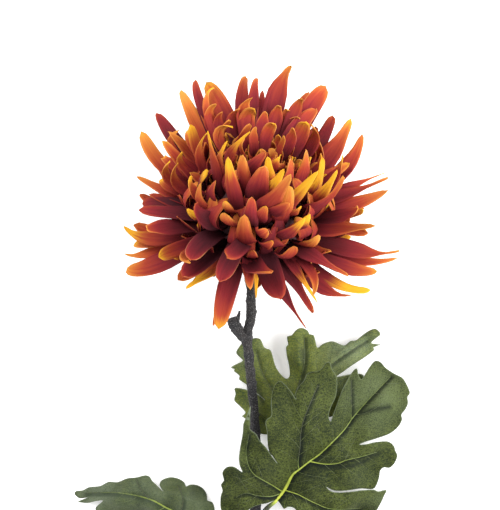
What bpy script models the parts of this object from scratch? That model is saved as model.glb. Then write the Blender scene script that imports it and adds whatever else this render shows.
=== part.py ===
"""A cut chrysanthemum that lies on its back on a table: bloom, calyx, forked stem, three lobed leaves.

Metres, +Z up. The table is the plane z = 0, the top of the picture is +Y and the picture's right is
+X. The origin is the middle of the flower's box, on the table. Sizes come from the picture: a bloom
of this kind is about 145 mm across, which makes one picture point 0.533 mm at the bloom's height.
Points read from the picture are turned into places by place(), for a viewer VIEW_DISTANCE above
the bloom.
"""
import math
import random

import bmesh
import bpy
from mathutils import Matrix, Vector
from mathutils.geometry import delaunay_2d_cdt

MM = 0.001

# The picture: the size of one point at the bloom's height, and where the viewer looks
POINT_SIZE = 0.533 * MM
VIEW_DISTANCE = 1.2
PICTURE_MIDDLE = (250.0, 255.0)
BLOOM_POINT = (255.0, 225.0)

# The bloom: a flat receptacle, a ball above it that the curled petals stand on, and its hollow top
BLOOM_CENTRE = Vector((7.0 * MM, 57.0 * MM, 56.0 * MM))
BLOOM_AXIS = Vector((0.13, 0.65, 0.75)).normalized()
MOUND_CENTRE = BLOOM_CENTRE + BLOOM_AXIS * 17.0 * MM
MOUND_AXIS = Vector((0.16, 0.76, 0.63)).normalized()
HOLLOW_AXIS = Vector((0.18, 0.88, 0.44)).normalized()
MOUND_REACH = 37.0 * MM
HOLLOW_REACH = 26.0 * MM
HOLLOW_ANGLES = (math.radians(15.0), math.radians(38.0))
STANDING_REACH = 52.0 * MM
CORE_RADIUS = 31.0 * MM
CORE_HEIGHT = 15.0 * MM
MOUND_CORE_RADIUS = 24.8 * MM
CORE_BACK = 8.0 * MM

# The petals: lengths and widths before each one's own draw
RAY_LENGTH = 74.0 * MM
FORWARD_LOSS = 17.0 * MM
HANGING_LOSS = 0.5
UPRIGHT_LENGTH = 63.0 * MM
CURLED_LENGTH = 19.0 * MM
FLORET_LENGTH = 4.5 * MM
MOUND_PETAL_WIDTH = 9.2 * MM
RAY_PETAL_WIDTH = 9.8 * MM
RIM_WIDENING = 1.15
FACE_WIDENING = 1.2
STANDING_WIDENING = 1.12
PETAL_THICKNESS = 0.9 * MM
PETAL_TWIST = 0.35
RAY_RINGS = (0.0, 0.45, 0.8)
MOUND_RINGS = (0.0, 0.62)
FLORETS = 8
MOUND_PETALS = 72
RAY_PETALS = 92
UPRIGHT_PETALS = 80
GOLDEN_ANGLE = math.radians(137.508)
SEED = 11

# The calyx: a cup, and rows of bracts as start and end on it (0 rim, 1 stem) and their count
CALYX_LENGTH = 16.0 * MM
CALYX_RADIUS = 14.0 * MM
CALYX_SHAPE = ((0.0, 1.0), (0.3, 0.92), (0.65, 0.55))
BRACT_ROWS = ((0.9, 0.5, 8), (0.62, 0.16, 12))
BRACT_HALF_WIDTH = 2.2 * MM
BRACT_HALF_THICKNESS = 0.8 * MM

# The stem and the leaves
STEM_RADIUS = 2.6 * MM
LEAF_THICKNESS = 0.8 * MM
LEAF_SPACING = 13.0
RIB_RADIUS = 1.0 * MM
GAP = 0.3 * MM

# Petals whose tips show by themselves: tip x, tip y, a point half way along (x, y), width in
# picture points, and how much higher than the rule the tip stands, in millimetres
RIM_PETALS = [
    (141, 132, 176, 176, 14, 4), (157, 113, 184, 152, 14, -4), (181, 90, 205, 140, 14, 0),
    (195, 80, 213, 137, 11, -6), (206, 83, 230, 128, 16, 4), (246, 77, 243, 130, 16, -4),
    (257, 78, 254, 128, 11, 2), (262, 91, 262, 132, 10, 7), (291, 66, 274, 128, 20, 2),
    (326, 87, 296, 132, 15, 0), (315, 84, 288, 130, 12, -7), (316, 109, 290, 140, 15, 9),
    (333, 116, 310, 154, 15, -4), (351, 119, 322, 163, 15, 3), (362, 134, 330, 172, 13, -4),
    (349, 163, 316, 184, 14, 9), (388, 178, 336, 197, 14, 0), (384, 173, 340, 190, 9, -5),
    (388, 190, 338, 210, 14, 5), (375, 226, 325, 229, 16, 9), (399, 251, 352, 250, 17, 0),
    (397, 258, 344, 259, 12, -4), (377, 271, 336, 265, 13, 6), (348, 276, 306, 254, 15, 11),
    (370, 290, 330, 281, 15, 0), (352, 295, 316, 284, 12, 2), (317, 302, 290, 262, 13, 5),
    (313, 313, 280, 262, 17, 0), (306, 328, 278, 272, 10, -4), (280, 300, 266, 258, 20, 9),
    (256, 298, 252, 262, 11, -12), (217, 329, 238, 270, 17, 8), (213, 326, 228, 280, 10, -6),
    (186, 288, 216, 260, 11, 0), (220, 282, 234, 252, 17, 9), (183, 277, 206, 257, 19, 3),
    (127, 268, 160, 264, 17, 0), (125, 254, 156, 251, 9, -5), (124, 226, 158, 238, 15, 4),
    (135, 243, 162, 240, 12, -2), (139, 210, 190, 214, 15, 5), (137, 177, 184, 200, 12, 0),
    (149, 194, 190, 208, 12, 5), (188, 254, 205, 236, 20, 9), (227, 257, 241, 244, 15, 16),
    (159, 257, 182, 248, 13, 6),
]
FACE_PETALS = [
    (227, 157, 231, 203, 15, 0), (250, 132, 225, 156, 9, 0), (227, 141, 213, 168, 10, 0),
    (208, 131, 211, 172, 9, 0), (199, 184, 205, 208, 17, 0), (189, 209, 199, 221, 12, 3),
    (244, 215, 241, 246, 15, 3), (252, 197, 249, 224, 12, 0), (267, 206, 259, 226, 13, 0),
    (308, 215, 290, 241, 13, 3), (317, 236, 304, 250, 11, 4), (296, 248, 284, 262, 15, 4),
    (343, 178, 325, 212, 18, 2), (318, 171, 297, 205, 12, 2), (337, 170, 322, 203, 12, 2),
    (322, 158, 322, 190, 13, 0), (343, 155, 326, 178, 11, 0), (306, 150, 308, 178, 12, 0),
    (284, 169, 272, 196, 12, 0), (292, 176, 270, 208, 19, 2), (289, 186, 290, 216, 15, 2),
    (264, 166, 257, 194, 17, 0), (243, 155, 241, 182, 13, 0), (268, 157, 272, 182, 11, 0),
    (207, 133, 205, 160, 8, 2), (227, 202, 229, 212, 7, 2), (225, 214, 229, 222, 12, 2),
]
# Petals that stand up behind the hollow in the middle, in the same order of numbers
STANDING_PETALS = [
    (212, 107, 210, 132, 10, 0), (233, 127, 220, 140, 12, 0), (252, 98, 243, 118, 13, 0),
    (255, 110, 246, 126, 15, 0), (256, 127, 253, 141, 10, 0), (274, 123, 265, 138, 15, 2),
    (279, 106, 275, 122, 13, 0), (287, 110, 284, 122, 9, 0), (302, 99, 293, 116, 12, 0),
    (305, 122, 298, 140, 16, 0), (300, 119, 285, 130, 9, 0), (311, 124, 316, 148, 10, 3),
    (240, 108, 231, 128, 12, -1), (222, 112, 220, 132, 12, -2), (266, 112, 262, 130, 12, -2),
    (293, 128, 289, 144, 11, 3), (244, 138, 241, 150, 9, 3), (284, 136, 280, 150, 9, 4),
]

# Leaf outlines, counter-clockwise in the picture's own direction, ribs, and heights of the blade
# above the table in millimetres at a few points
FRONT_OUTLINE = [
    (276, 500), (260, 504), (251, 508), (243, 518), (228, 518), (221, 508), (221, 484),
    (223, 470), (231, 466), (242, 472), (240, 459), (241, 442), (244, 421), (250, 406),
    (250, 427), (257, 435), (265, 446), (277, 462), (269, 448), (267, 432), (266, 420),
    (271.5, 414), (272, 395), (275, 384), (280, 381), (289, 389), (296, 399), (299, 386),
    (306, 374), (318, 370), (325, 362.5), (331, 363), (337, 378), (335, 398), (329, 414),
    (331, 421), (337, 402), (344, 386), (351, 373), (357, 368.5), (360, 379), (369, 366.5),
    (377, 360.5), (387, 368.5), (403, 377), (410, 392), (407, 399), (407.5, 408),
    (401.5, 415), (398, 428), (380, 437), (360, 444), (376, 441.5), (389, 441.5), (395, 448),
    (397, 457), (391, 467), (381, 469.5), (378, 482), (372, 489), (350, 491), (327, 487.5),
    (347, 493.5), (375, 490), (387, 490), (381, 502), (376, 512), (362, 522), (345, 526),
    (326, 524), (308, 518), (296, 508), (286, 508),
]
FRONT_HEIGHTS = [
    (276, 500, 17), (250, 505, 14), (228, 515, 5), (224, 480, 20), (243, 472, 24),
    (250, 410, 42), (262, 470, 27), (268, 420, 38), (279, 384, 34), (300, 430, 27),
    (297, 400, 31), (327, 366, 26), (334, 400, 24), (330, 440, 26), (357, 371, 19),
    (378, 363, 12), (408, 392, 8), (372, 398, 21), (400, 420, 9), (360, 444, 17),
    (396, 455, 8), (378, 482, 8), (345, 470, 21), (310, 480, 22), (345, 500, 12),
    (384, 495, 2), (362, 519, -5), (320, 518, 8), (290, 505, 15),
]
FRONT_RIBS = [
    [(272, 501), (286, 482), (301, 464.5), (316, 451), (334, 436), (354, 414), (370, 397), (391, 375)],
    [(286, 488), (267, 481), (253, 470), (246, 455), (249, 432)],
    [(302, 464), (298, 440), (303, 418), (318, 385)],
    [(351, 417), (351, 380)],
    [(316, 463), (357, 458), (385, 450)],
    [(284, 493), (306, 499), (336, 510), (362, 508)],
    [(276, 497), (246, 494), (230, 500)],
]
BACK_OUTLINE = [
    (276, 440), (266, 436), (254, 431), (247, 424), (242, 416.5), (245.5, 412), (234.5, 400.5),
    (235, 388), (247, 390.5), (264, 399.5), (252, 389), (239, 379.5), (240, 376), (231, 367.5),
    (243, 361), (236, 352.5), (242, 344), (253, 338.5), (260.5, 339.5), (265, 348), (272, 354),
    (277, 369), (286, 378.5), (290, 374), (286.5, 354), (288, 346), (287, 336.5), (296, 330),
    (302, 327.5), (308, 332), (313, 335), (318, 347.5), (333, 341.5), (342, 345.5), (355, 340),
    (369, 331), (376, 329), (380.5, 334.5), (372, 343), (380.5, 344.5), (365, 358), (350, 367),
    (338, 376), (352, 375), (363, 375.5), (361, 390), (350, 402), (334, 408), (320, 416),
    (306, 426), (290, 434),
]
BACK_HEIGHTS = [
    (278, 438, 6.5), (250, 428, 5), (238, 398, -1), (235, 368, 1), (240, 350, 4),
    (256, 341, 9), (262, 374, 9), (268, 400, 9), (288, 372, 5), (292, 400, 9), (300, 330, 11),
    (302, 360, 10), (330, 343, 8), (378, 332, 6), (376, 345, 3), (345, 362, 8),
    (358, 384, -2), (325, 385, 9), (330, 408, 5), (305, 424, 5),
]
BACK_RIBS = [
    [(276, 444), (284, 425), (295, 395), (304, 365), (304, 338)],
    [(281, 432), (272, 392), (262, 372), (256, 350)],
    [(292, 404), (320, 374), (345, 355), (368, 340)],
    [(278, 437), (266, 420), (254, 408), (243, 396)],
]
LEFT_OUTLINE = [
    (199, 524), (211, 520), (215, 510), (213, 504), (207, 500), (206, 493), (197, 485),
    (187.5, 486.5), (183, 482), (171, 477), (161, 480.5), (162, 491), (153, 483), (149, 476.5),
    (140, 476), (127, 478.5), (110, 481.5), (98, 486), (87, 488), (75, 492), (79, 498),
    (92, 497.5), (80, 502.5), (93, 503), (97, 512), (108, 518), (118, 519), (126, 530),
    (140, 529), (150, 537), (163, 533), (176, 538), (189, 532),
]
LEFT_HEIGHTS = [
    (199, 524, 9), (214, 512, 5), (205, 492, 2), (180, 500, 13), (172, 480, 5), (149, 499, 15),
    (150, 479, 7), (120, 498, 13), (112, 483, 5), (78, 494, -2), (96, 510, 4), (120, 520, 4),
    (140, 527, -5), (165, 515, 9), (176, 536, -2), (192, 531, 4),
]
LEFT_RIBS = [
    [(203, 524), (170, 509.5), (149, 499), (120, 493), (85, 493)],
    [(180, 514), (183, 500), (178, 485)],
    [(165, 507), (148, 517), (136, 525)],
    [(150, 500), (140, 488), (136, 479)],
]

# The stem's middle line: picture x, picture y, height in millimetres, and how thick it is for its
# place, where 1 is the usual thickness
STEM_LINE = [
    (250.5, 290, 33, 0.95), (251, 303, 31, 1.0), (251, 316, 29, 1.12), (248.5, 328, 27, 1.02),
    (247, 339, 25.3, 1.22), (248, 350, 23.6, 1.05), (250, 368, 21, 1.0), (251.5, 385, 19, 1.06),
    (253.5, 403, 17, 1.0), (255, 425, 14.5, 1.0), (256, 447, 12.3, 1.1), (256, 470, 10.2, 1.0),
    (256, 495, 8.1, 1.0), (255, 518, 6.6, 1.2), (253, 542, 5.2, 1.05), (251, 566, 3.9, 1.0),
    (250, 588, 2.6, 1.0),
]
SHOOT_LINE = [(247, 340, 25.3, 1.0), (241, 334, 27, 1.15), (236, 328, 28.5, 1.3), (232, 319, 30, 1.15)]
TWIG_LINE = [(236, 327, 28.5, 0.6), (238, 319, 31, 0.43), (239.5, 311, 33, 0.3)]


def place(picture_x, picture_y, height):
    """The place at this height that the viewer sees at a point of the picture."""
    viewer_height = BLOOM_CENTRE.z + VIEW_DISTANCE
    scale = POINT_SIZE * (viewer_height - height) / VIEW_DISTANCE
    viewer_x = BLOOM_CENTRE.x + (PICTURE_MIDDLE[0] - BLOOM_POINT[0]) * POINT_SIZE
    viewer_y = BLOOM_CENTRE.y - (PICTURE_MIDDLE[1] - BLOOM_POINT[1]) * POINT_SIZE
    x = viewer_x + (picture_x - PICTURE_MIDDLE[0]) * scale
    y = viewer_y - (picture_y - PICTURE_MIDDLE[1]) * scale
    return Vector((x, y, height))


def remove_start_objects():
    for thing in list(bpy.data.objects):
        bpy.data.objects.remove(thing, do_unlink=True)


def material(name, colour, roughness):
    made = bpy.data.materials.new(name)
    made.use_nodes = True
    shader = made.node_tree.nodes["Principled BSDF"]
    shader.inputs["Base Color"].default_value = (*colour, 1.0)
    shader.inputs["Roughness"].default_value = roughness
    shader.inputs["Metallic"].default_value = 0.0
    return made


def object_from(name, bm, shared_material=None):
    bmesh.ops.recalc_face_normals(bm, faces=bm.faces)
    mesh = bpy.data.meshes.new(name)
    bm.to_mesh(mesh)
    bm.free()
    if shared_material is not None:
        mesh.materials.append(shared_material)
    thing = bpy.data.objects.new(name, mesh)
    bpy.context.scene.collection.objects.link(thing)
    return thing


def union(base, pieces, solver="EXACT"):
    """Joins the pieces to the base for good and removes them."""
    group = bpy.data.collections.new(base.name + "_pieces")
    bpy.context.scene.collection.children.link(group)
    for piece in pieces:
        group.objects.link(piece)
    modifier = base.modifiers.new("join", "BOOLEAN")
    modifier.operation = "UNION"
    modifier.operand_type = "COLLECTION"
    modifier.collection = group
    modifier.solver = solver
    evaluated = base.evaluated_get(bpy.context.evaluated_depsgraph_get())
    joined = bpy.data.meshes.new_from_object(evaluated)
    base.modifiers.clear()
    base.data = joined
    for piece in pieces:
        bpy.data.objects.remove(piece, do_unlink=True)
    bpy.data.collections.remove(group)


def keep_outer_body(thing):
    """Fills hollows that the joining has sealed, drops loose scrap and splits faces in triangles."""
    bm = bmesh.new()
    bm.from_mesh(thing.data)
    bmesh.ops.triangulate(bm, faces=bm.faces)
    waiting = set(bm.faces)
    bodies = []
    while waiting:
        edge_of_search = [waiting.pop()]
        body = set(edge_of_search)
        while edge_of_search:
            face = edge_of_search.pop()
            for edge in face.edges:
                for other in edge.link_faces:
                    if other in waiting:
                        waiting.discard(other)
                        body.add(other)
                        edge_of_search.append(other)
        bodies.append(body)
    bodies.sort(key=len, reverse=True)
    for scrap in bodies[1:]:
        bmesh.ops.delete(bm, geom=list(scrap), context="FACES")
    bm.to_mesh(thing.data)
    bm.free()


def tube(points, radii, sides):
    """A closed tube along the points, with flat ends."""
    bm = bmesh.new()
    rings = []
    side = None
    for i, point in enumerate(points):
        before = points[max(i - 1, 0)]
        after = points[min(i + 1, len(points) - 1)]
        along = (after - before).normalized()
        if side is None:
            side = along.orthogonal().normalized()
        side = (side - along * side.dot(along)).normalized()
        up = along.cross(side)
        ring = []
        for k in range(sides):
            turn = 2.0 * math.pi * k / sides
            ring.append(bm.verts.new(point + (side * math.cos(turn) + up * math.sin(turn)) * radii[i]))
        rings.append(ring)
    for ring, following in zip(rings, rings[1:]):
        for k in range(sides):
            following_k = (k + 1) % sides
            bm.faces.new((ring[k], ring[following_k], following[following_k], following[k]))
    bm.faces.new(list(reversed(rings[0])))
    bm.faces.new(rings[-1])
    return bm


def sides_of(axis):
    """Two directions across an axis: to the right, and towards the top of the picture."""
    right = (Vector((1.0, 0.0, 0.0)) - axis * axis.x).normalized()
    return right, axis.cross(right)


def direction_about(axis, angle, turn):
    """A direction at an angle from an axis, turned about it."""
    right, upper = sides_of(axis)
    return axis * math.cos(angle) + (right * math.cos(turn) + upper * math.sin(turn)) * math.sin(angle)


def angle_and_turn(axis, offset):
    """A direction as its angle from an axis and its turn about it."""
    right, upper = sides_of(axis)
    return offset.angle(axis), math.atan2(offset.dot(upper), offset.dot(right))


def out_of_hollow(angle):
    """0 in the hollow on top of the mound and 1 on its rim and outside."""
    share = min(1.0, max(0.0, (angle - HOLLOW_ANGLES[0]) / (HOLLOW_ANGLES[1] - HOLLOW_ANGLES[0])))
    return share * share * (3.0 - 2.0 * share)


def ray_reach(angle, turn):
    """How far the outer petals reach: less for those that stand forward or hang below the head."""
    forward = max(0.0, math.radians(84.0) - angle)
    hanging = max(0.0, -direction_about(BLOOM_AXIS, angle, turn).y)
    return (RAY_LENGTH - forward * FORWARD_LOSS) * (1.0 - HANGING_LOSS * hanging ** 2)


def curve_through(root, middle, tip, share):
    """A point on the smooth curve that passes the middle point half way."""
    pull = middle * 2.0 - (root + tip) * 0.5
    return root * (1.0 - share) ** 2 + pull * (2.0 * share * (1.0 - share)) + tip * share ** 2


def receptacle_root(middle):
    """An outer petal's root, in the receptacle under its middle point."""
    angle, turn = angle_and_turn(BLOOM_AXIS, middle - BLOOM_CENTRE)
    outward = direction_about(BLOOM_AXIS, min(angle, math.radians(86.0)), turn)
    return BLOOM_CENTRE + outward * CORE_RADIUS * 0.6


def mound_root(middle):
    """A curled petal's root, in the mound's core under its middle point."""
    offset = (middle - MOUND_CENTRE).normalized()
    return MOUND_CENTRE + offset * MOUND_CORE_RADIUS * 0.8


def on_ball(picture_x, picture_y, centre, radius):
    """The place on the near side of a ball that the picture shows."""
    height = centre.z + radius
    for _ in range(12):
        offset = place(picture_x, picture_y, height) - centre
        height = centre.z + math.sqrt(max(radius ** 2 - offset.x ** 2 - offset.y ** 2, 0.0))
    return place(picture_x, picture_y, height)


def raised_tip(tip_x, tip_y, middle, slope, lift):
    """A tip that stands higher than the petal's middle, the more the longer the petal shows."""
    seen_length = (place(tip_x, tip_y, middle.z) - middle).length
    return place(tip_x, tip_y, middle.z + slope * seen_length + lift * MM)


def ray_tip(picture_x, picture_y, lift):
    """An outer tip: those below the bloom's centre droop towards the viewer."""
    height = BLOOM_CENTRE.z
    for _ in range(12):
        offset = place(picture_x, picture_y, height) - BLOOM_CENTRE
        flat = math.hypot(offset.x, offset.y)
        rise = -0.22 * offset.y
        if offset.y < 10.0 * MM:
            rise = max(rise, math.sqrt(max((RAY_LENGTH * 0.87) ** 2 - flat ** 2, 0.0)))
        height = BLOOM_CENTRE.z + rise + lift * MM
    return place(picture_x, picture_y, height)


class Petal:
    """One petal: its curve, its width, and whether it stands on the mound or on the receptacle."""

    def __init__(self, root, middle, tip, width, on_mound):
        self.root = root
        self.middle = middle
        self.tip = tip
        self.width = width
        self.on_mound = on_mound

    def half_width(self, share):
        """Half the width along the petal: slim at the root, widest past the middle."""
        if share < 0.62:
            return self.width * 0.5 * (0.2 + 0.8 * math.sin(share / 0.62 * math.pi / 2.0))
        return self.width * 0.5 * math.cos((share - 0.62) / 0.38 * math.pi / 2.0) ** 0.62

    def solid(self, twist):
        """A keeled blade of three-sided rings along the curve, kept above the table."""
        axis, centre = (MOUND_AXIS, MOUND_CENTRE) if self.on_mound else (BLOOM_AXIS, BLOOM_CENTRE)
        bm = bmesh.new()
        rings = []
        for share in MOUND_RINGS if self.on_mound else RAY_RINGS:
            point = curve_through(self.root, self.middle, self.tip, share)
            ahead = curve_through(self.root, self.middle, self.tip, share + 0.02)
            along = (ahead - point).normalized()
            across = axis.cross(point - centre)
            across = (across - along * across.dot(along)).normalized()
            across = Matrix.Rotation(twist * share, 3, along) @ across
            inner = across.cross(along).normalized()
            half = self.half_width(share)
            lift = inner * half * 0.22
            ring = [point - across * half + lift, point + across * half + lift,
                    point - inner * PETAL_THICKNESS]
            sunk = max(0.0, -min(corner.z for corner in ring))
            rings.append([bm.verts.new(corner + Vector((0.0, 0.0, sunk))) for corner in ring])
        for ring, following in zip(rings, rings[1:]):
            for k in range(3):
                after = (k + 1) % 3
                bm.faces.new((ring[k], ring[after], following[after], following[k]))
        bm.faces.new(rings[0])
        point = bm.verts.new(Vector((self.tip.x, self.tip.y, max(self.tip.z, 0.0))))
        for k in range(3):
            bm.faces.new((rings[-1][k], rings[-1][(k + 1) % 3], point))
        bmesh.ops.triangulate(bm, faces=bm.faces)
        return object_from("petal", bm)


def tips_by_golden_angle(count, first_angle, last_angle):
    """Directions spread evenly between two angles from the axis."""
    tips = []
    for i in range(count):
        share = (i + 0.5) / count
        cosine = math.cos(first_angle) + (math.cos(last_angle) - math.cos(first_angle)) * share
        tips.append((math.acos(cosine), i * GOLDEN_ANGLE))
    return tips


def drop_taken(axis, tips, taken_offsets):
    """Leaves out the direction next to each petal that already stands."""
    for offset in taken_offsets:
        nearest = max(tips, key=lambda tip: direction_about(axis, *tip).dot(offset))
        tips.remove(nearest)


def seen_petals():
    """The petals that the picture shows by themselves: outer ones, then those on the mound."""
    outer = []
    for tip_x, tip_y, middle_x, middle_y, width, lift in RIM_PETALS:
        tip = ray_tip(tip_x, tip_y, lift)
        middle_height = BLOOM_CENTRE.z + (tip.z - BLOOM_CENTRE.z) * 0.55 + 5.0 * MM
        middle = place(middle_x, middle_y, middle_height)
        wide = width * POINT_SIZE * RIM_WIDENING
        outer.append(Petal(receptacle_root(middle), middle, tip, wide, False))
    mound = []
    for tip_x, tip_y, middle_x, middle_y, width, lift in FACE_PETALS:
        middle = on_ball(middle_x, middle_y, MOUND_CENTRE, MOUND_REACH)
        tip = raised_tip(tip_x, tip_y, middle, 0.75, lift)
        wide = width * POINT_SIZE * FACE_WIDENING
        mound.append(Petal(mound_root(middle), middle, tip, wide, True))
    for tip_x, tip_y, middle_x, middle_y, width, lift in STANDING_PETALS:
        middle = on_ball(middle_x, middle_y, BLOOM_CENTRE, STANDING_REACH)
        tip = raised_tip(tip_x, tip_y, middle, 0.45, lift)
        wide = width * POINT_SIZE * STANDING_WIDENING
        mound.append(Petal(mound_root(middle), middle, tip, wide, True))
    return outer, mound


def curled_petal(draw, angle, turn):
    """A petal of the mound: out from its core and then up, leaning in a little over the hollow."""
    straight = direction_about(MOUND_AXIS, angle, turn)
    rim = out_of_hollow(min(angle, straight.angle(HOLLOW_AXIS)))
    far = min(1.0, max(0.0, (math.sin(turn) + 0.3) / 1.2))
    reach = (HOLLOW_REACH + (MOUND_REACH - HOLLOW_REACH) * rim) * draw.uniform(0.92, 1.07)
    length = (FLORET_LENGTH + (CURLED_LENGTH - FLORET_LENGTH) * rim) * draw.uniform(0.7, 1.35)
    lean = math.radians(draw.uniform(4.0, 26.0)) * (1.0 - 1.3 * far)
    slant = math.radians(draw.uniform(-20.0, 20.0))
    outward = direction_about(MOUND_AXIS, math.pi / 2.0, turn)
    heading = MOUND_AXIS * math.cos(lean) - outward * math.sin(lean)
    heading = heading + MOUND_AXIS.cross(outward) * math.sin(slant)
    middle = MOUND_CENTRE + straight * reach
    tip = middle + heading.normalized() * length
    width = MOUND_PETAL_WIDTH * (0.45 + 0.55 * rim) * draw.uniform(0.7, 1.25)
    return Petal(mound_root(middle), middle, tip, width, True)


def floret(draw, angle, turn):
    """A small crumpled petal in the hollow."""
    upward = direction_about(HOLLOW_AXIS, angle, turn)
    middle = MOUND_CENTRE + upward * HOLLOW_REACH * draw.uniform(0.9, 1.12)
    scatter = Vector([draw.uniform(-1.0, 1.0) for _ in range(3)])
    tip = middle + (upward + scatter * 0.6).normalized() * FLORET_LENGTH * draw.uniform(0.8, 1.7)
    width = MOUND_PETAL_WIDTH * draw.uniform(0.35, 0.62)
    return Petal(mound_root(middle), middle, tip, width, True)


def spread_petal(draw, angle, turn):
    """An outer petal: out sideways from the receptacle, and then forward or back."""
    near = max(0.0, -math.sin(turn))
    angle = angle - math.radians(16.0) * near
    reach = ray_reach(angle, turn) * draw.uniform(0.74, 0.95)
    side_turn = turn + draw.uniform(-0.14, 0.14)
    bowed = max(angle, math.radians(84.0)) + math.radians(draw.uniform(-2.0, 13.0))
    tip = BLOOM_CENTRE + direction_about(BLOOM_AXIS, angle, turn) * reach
    middle = BLOOM_CENTRE + direction_about(BLOOM_AXIS, bowed, side_turn) * reach * 0.6
    width = RAY_PETAL_WIDTH * draw.uniform(0.8, 1.12)
    return Petal(receptacle_root(middle), middle, tip, width, False)


def upright_petal(draw, angle, turn):
    """A petal that stands up behind the mound, between it and the outer ones."""
    reach = (UPRIGHT_LENGTH + (angle - math.radians(45.0)) * 14.0 * MM) * draw.uniform(0.9, 1.08)
    side_turn = turn + draw.uniform(-0.08, 0.08)
    bowed = angle + math.radians(draw.uniform(-2.0, 9.0))
    tip = BLOOM_CENTRE + direction_about(BLOOM_AXIS, angle, turn) * reach
    middle = BLOOM_CENTRE + direction_about(BLOOM_AXIS, bowed, side_turn) * reach * 0.62
    width = RAY_PETAL_WIDTH * draw.uniform(0.85, 1.15)
    return Petal(receptacle_root(middle), middle, tip, width, False)


def all_petals():
    """The petals that show by themselves, and the rest by rule in the places they leave free."""
    outer, mound = seen_petals()
    draw = random.Random(SEED)
    mound_tips = tips_by_golden_angle(MOUND_PETALS, math.radians(18.0), math.radians(104.0))
    ray_tips = tips_by_golden_angle(RAY_PETALS, math.radians(58.0), math.radians(114.0))
    upright_tips = tips_by_golden_angle(UPRIGHT_PETALS, math.radians(26.0), math.radians(62.0))
    upright_tips = [tip for tip in upright_tips if math.sin(tip[1]) > 0.2]
    drop_taken(BLOOM_AXIS, ray_tips, [(petal.tip - BLOOM_CENTRE).normalized() for petal in outer])
    drop_taken(MOUND_AXIS, mound_tips, [(petal.tip - MOUND_CENTRE).normalized() for petal in mound])
    floret_tips = tips_by_golden_angle(FLORETS, math.radians(3.0), math.radians(26.0))
    curled = [curled_petal(draw, *tip) for tip in mound_tips]
    florets = [floret(draw, *tip) for tip in floret_tips]
    spread = [spread_petal(draw, *tip) for tip in ray_tips]
    upright = [upright_petal(draw, *tip) for tip in upright_tips]
    return outer + mound + curled + florets + spread + upright


def receptacle_solid(shared_material):
    """The flat body under the petals, cut off where the calyx holds it."""
    bm = bmesh.new()
    bmesh.ops.create_icosphere(bm, subdivisions=2, radius=CORE_RADIUS)
    bmesh.ops.scale(bm, verts=bm.verts, vec=(1.0, 1.0, CORE_HEIGHT / CORE_RADIUS))
    facing = Vector((0.0, 0.0, 1.0)).rotation_difference(BLOOM_AXIS).to_matrix()
    bmesh.ops.rotate(bm, verts=bm.verts, matrix=facing)
    bmesh.ops.translate(bm, verts=bm.verts, vec=BLOOM_CENTRE)
    cut = bmesh.ops.bisect_plane(bm, geom=bm.verts[:] + bm.edges[:] + bm.faces[:],
                                 plane_co=BLOOM_CENTRE - BLOOM_AXIS * CORE_BACK,
                                 plane_no=-BLOOM_AXIS, clear_outer=True)
    rim = [item for item in cut["geom_cut"] if isinstance(item, bmesh.types.BMEdge)]
    bmesh.ops.contextual_create(bm, geom=rim)
    return object_from("bloom", bm, shared_material)


def bloom(shared_material):
    """Every petal, joined to the receptacle and the mound that their roots are sunk in."""
    core = receptacle_solid(shared_material)
    bm = bmesh.new()
    bmesh.ops.create_icosphere(bm, subdivisions=2, radius=MOUND_CORE_RADIUS)
    bmesh.ops.translate(bm, verts=bm.verts, vec=MOUND_CENTRE)
    pieces = [object_from("mound_core", bm)]
    twists = random.Random(SEED + 1)
    for petal in all_petals():
        pieces.append(petal.solid(twists.uniform(-PETAL_TWIST, PETAL_TWIST)))
    union(core, pieces, "MANIFOLD")
    keep_outer_body(core)
    return core


def stem_path(line):
    """Places and radii along one of the stem's lines."""
    points = [place(x, y, height * MM) for x, y, height, thickness in line]
    radii = [STEM_RADIUS * thickness for x, y, height, thickness in line]
    return points, radii


def stem(shared_material):
    """The stem with the broken side shoot and its twig."""
    neck = BLOOM_CENTRE - BLOOM_AXIS * (CORE_BACK + GAP + CALYX_LENGTH + GAP)
    bend = neck - BLOOM_AXIS * 7.0 * MM
    points, radii = stem_path(STEM_LINE)
    points = [neck, bend] + points
    radii = [STEM_RADIUS, STEM_RADIUS] + radii
    main = object_from("stem", tube(points, radii, 9), shared_material)
    shoot = object_from("shoot", tube(*stem_path(SHOOT_LINE), 7))
    twig = object_from("twig", tube(*stem_path(TWIG_LINE), 5))
    union(main, [shoot, twig])
    keep_outer_body(main)
    return main


def bract(low, high, across, out):
    """A small pointed scale of the calyx, from its broad foot to its point."""
    bm = bmesh.new()
    side = across * BRACT_HALF_WIDTH
    thick = out * BRACT_HALF_THICKNESS
    corners = [low - side - thick, low + side - thick, low + side + thick, low - side + thick]
    ring = [bm.verts.new(corner) for corner in corners]
    point = bm.verts.new(high)
    bm.faces.new(ring)
    for k in range(4):
        bm.faces.new((ring[k], ring[(k + 1) % 4], point))
    return object_from("bract", bm)


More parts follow.
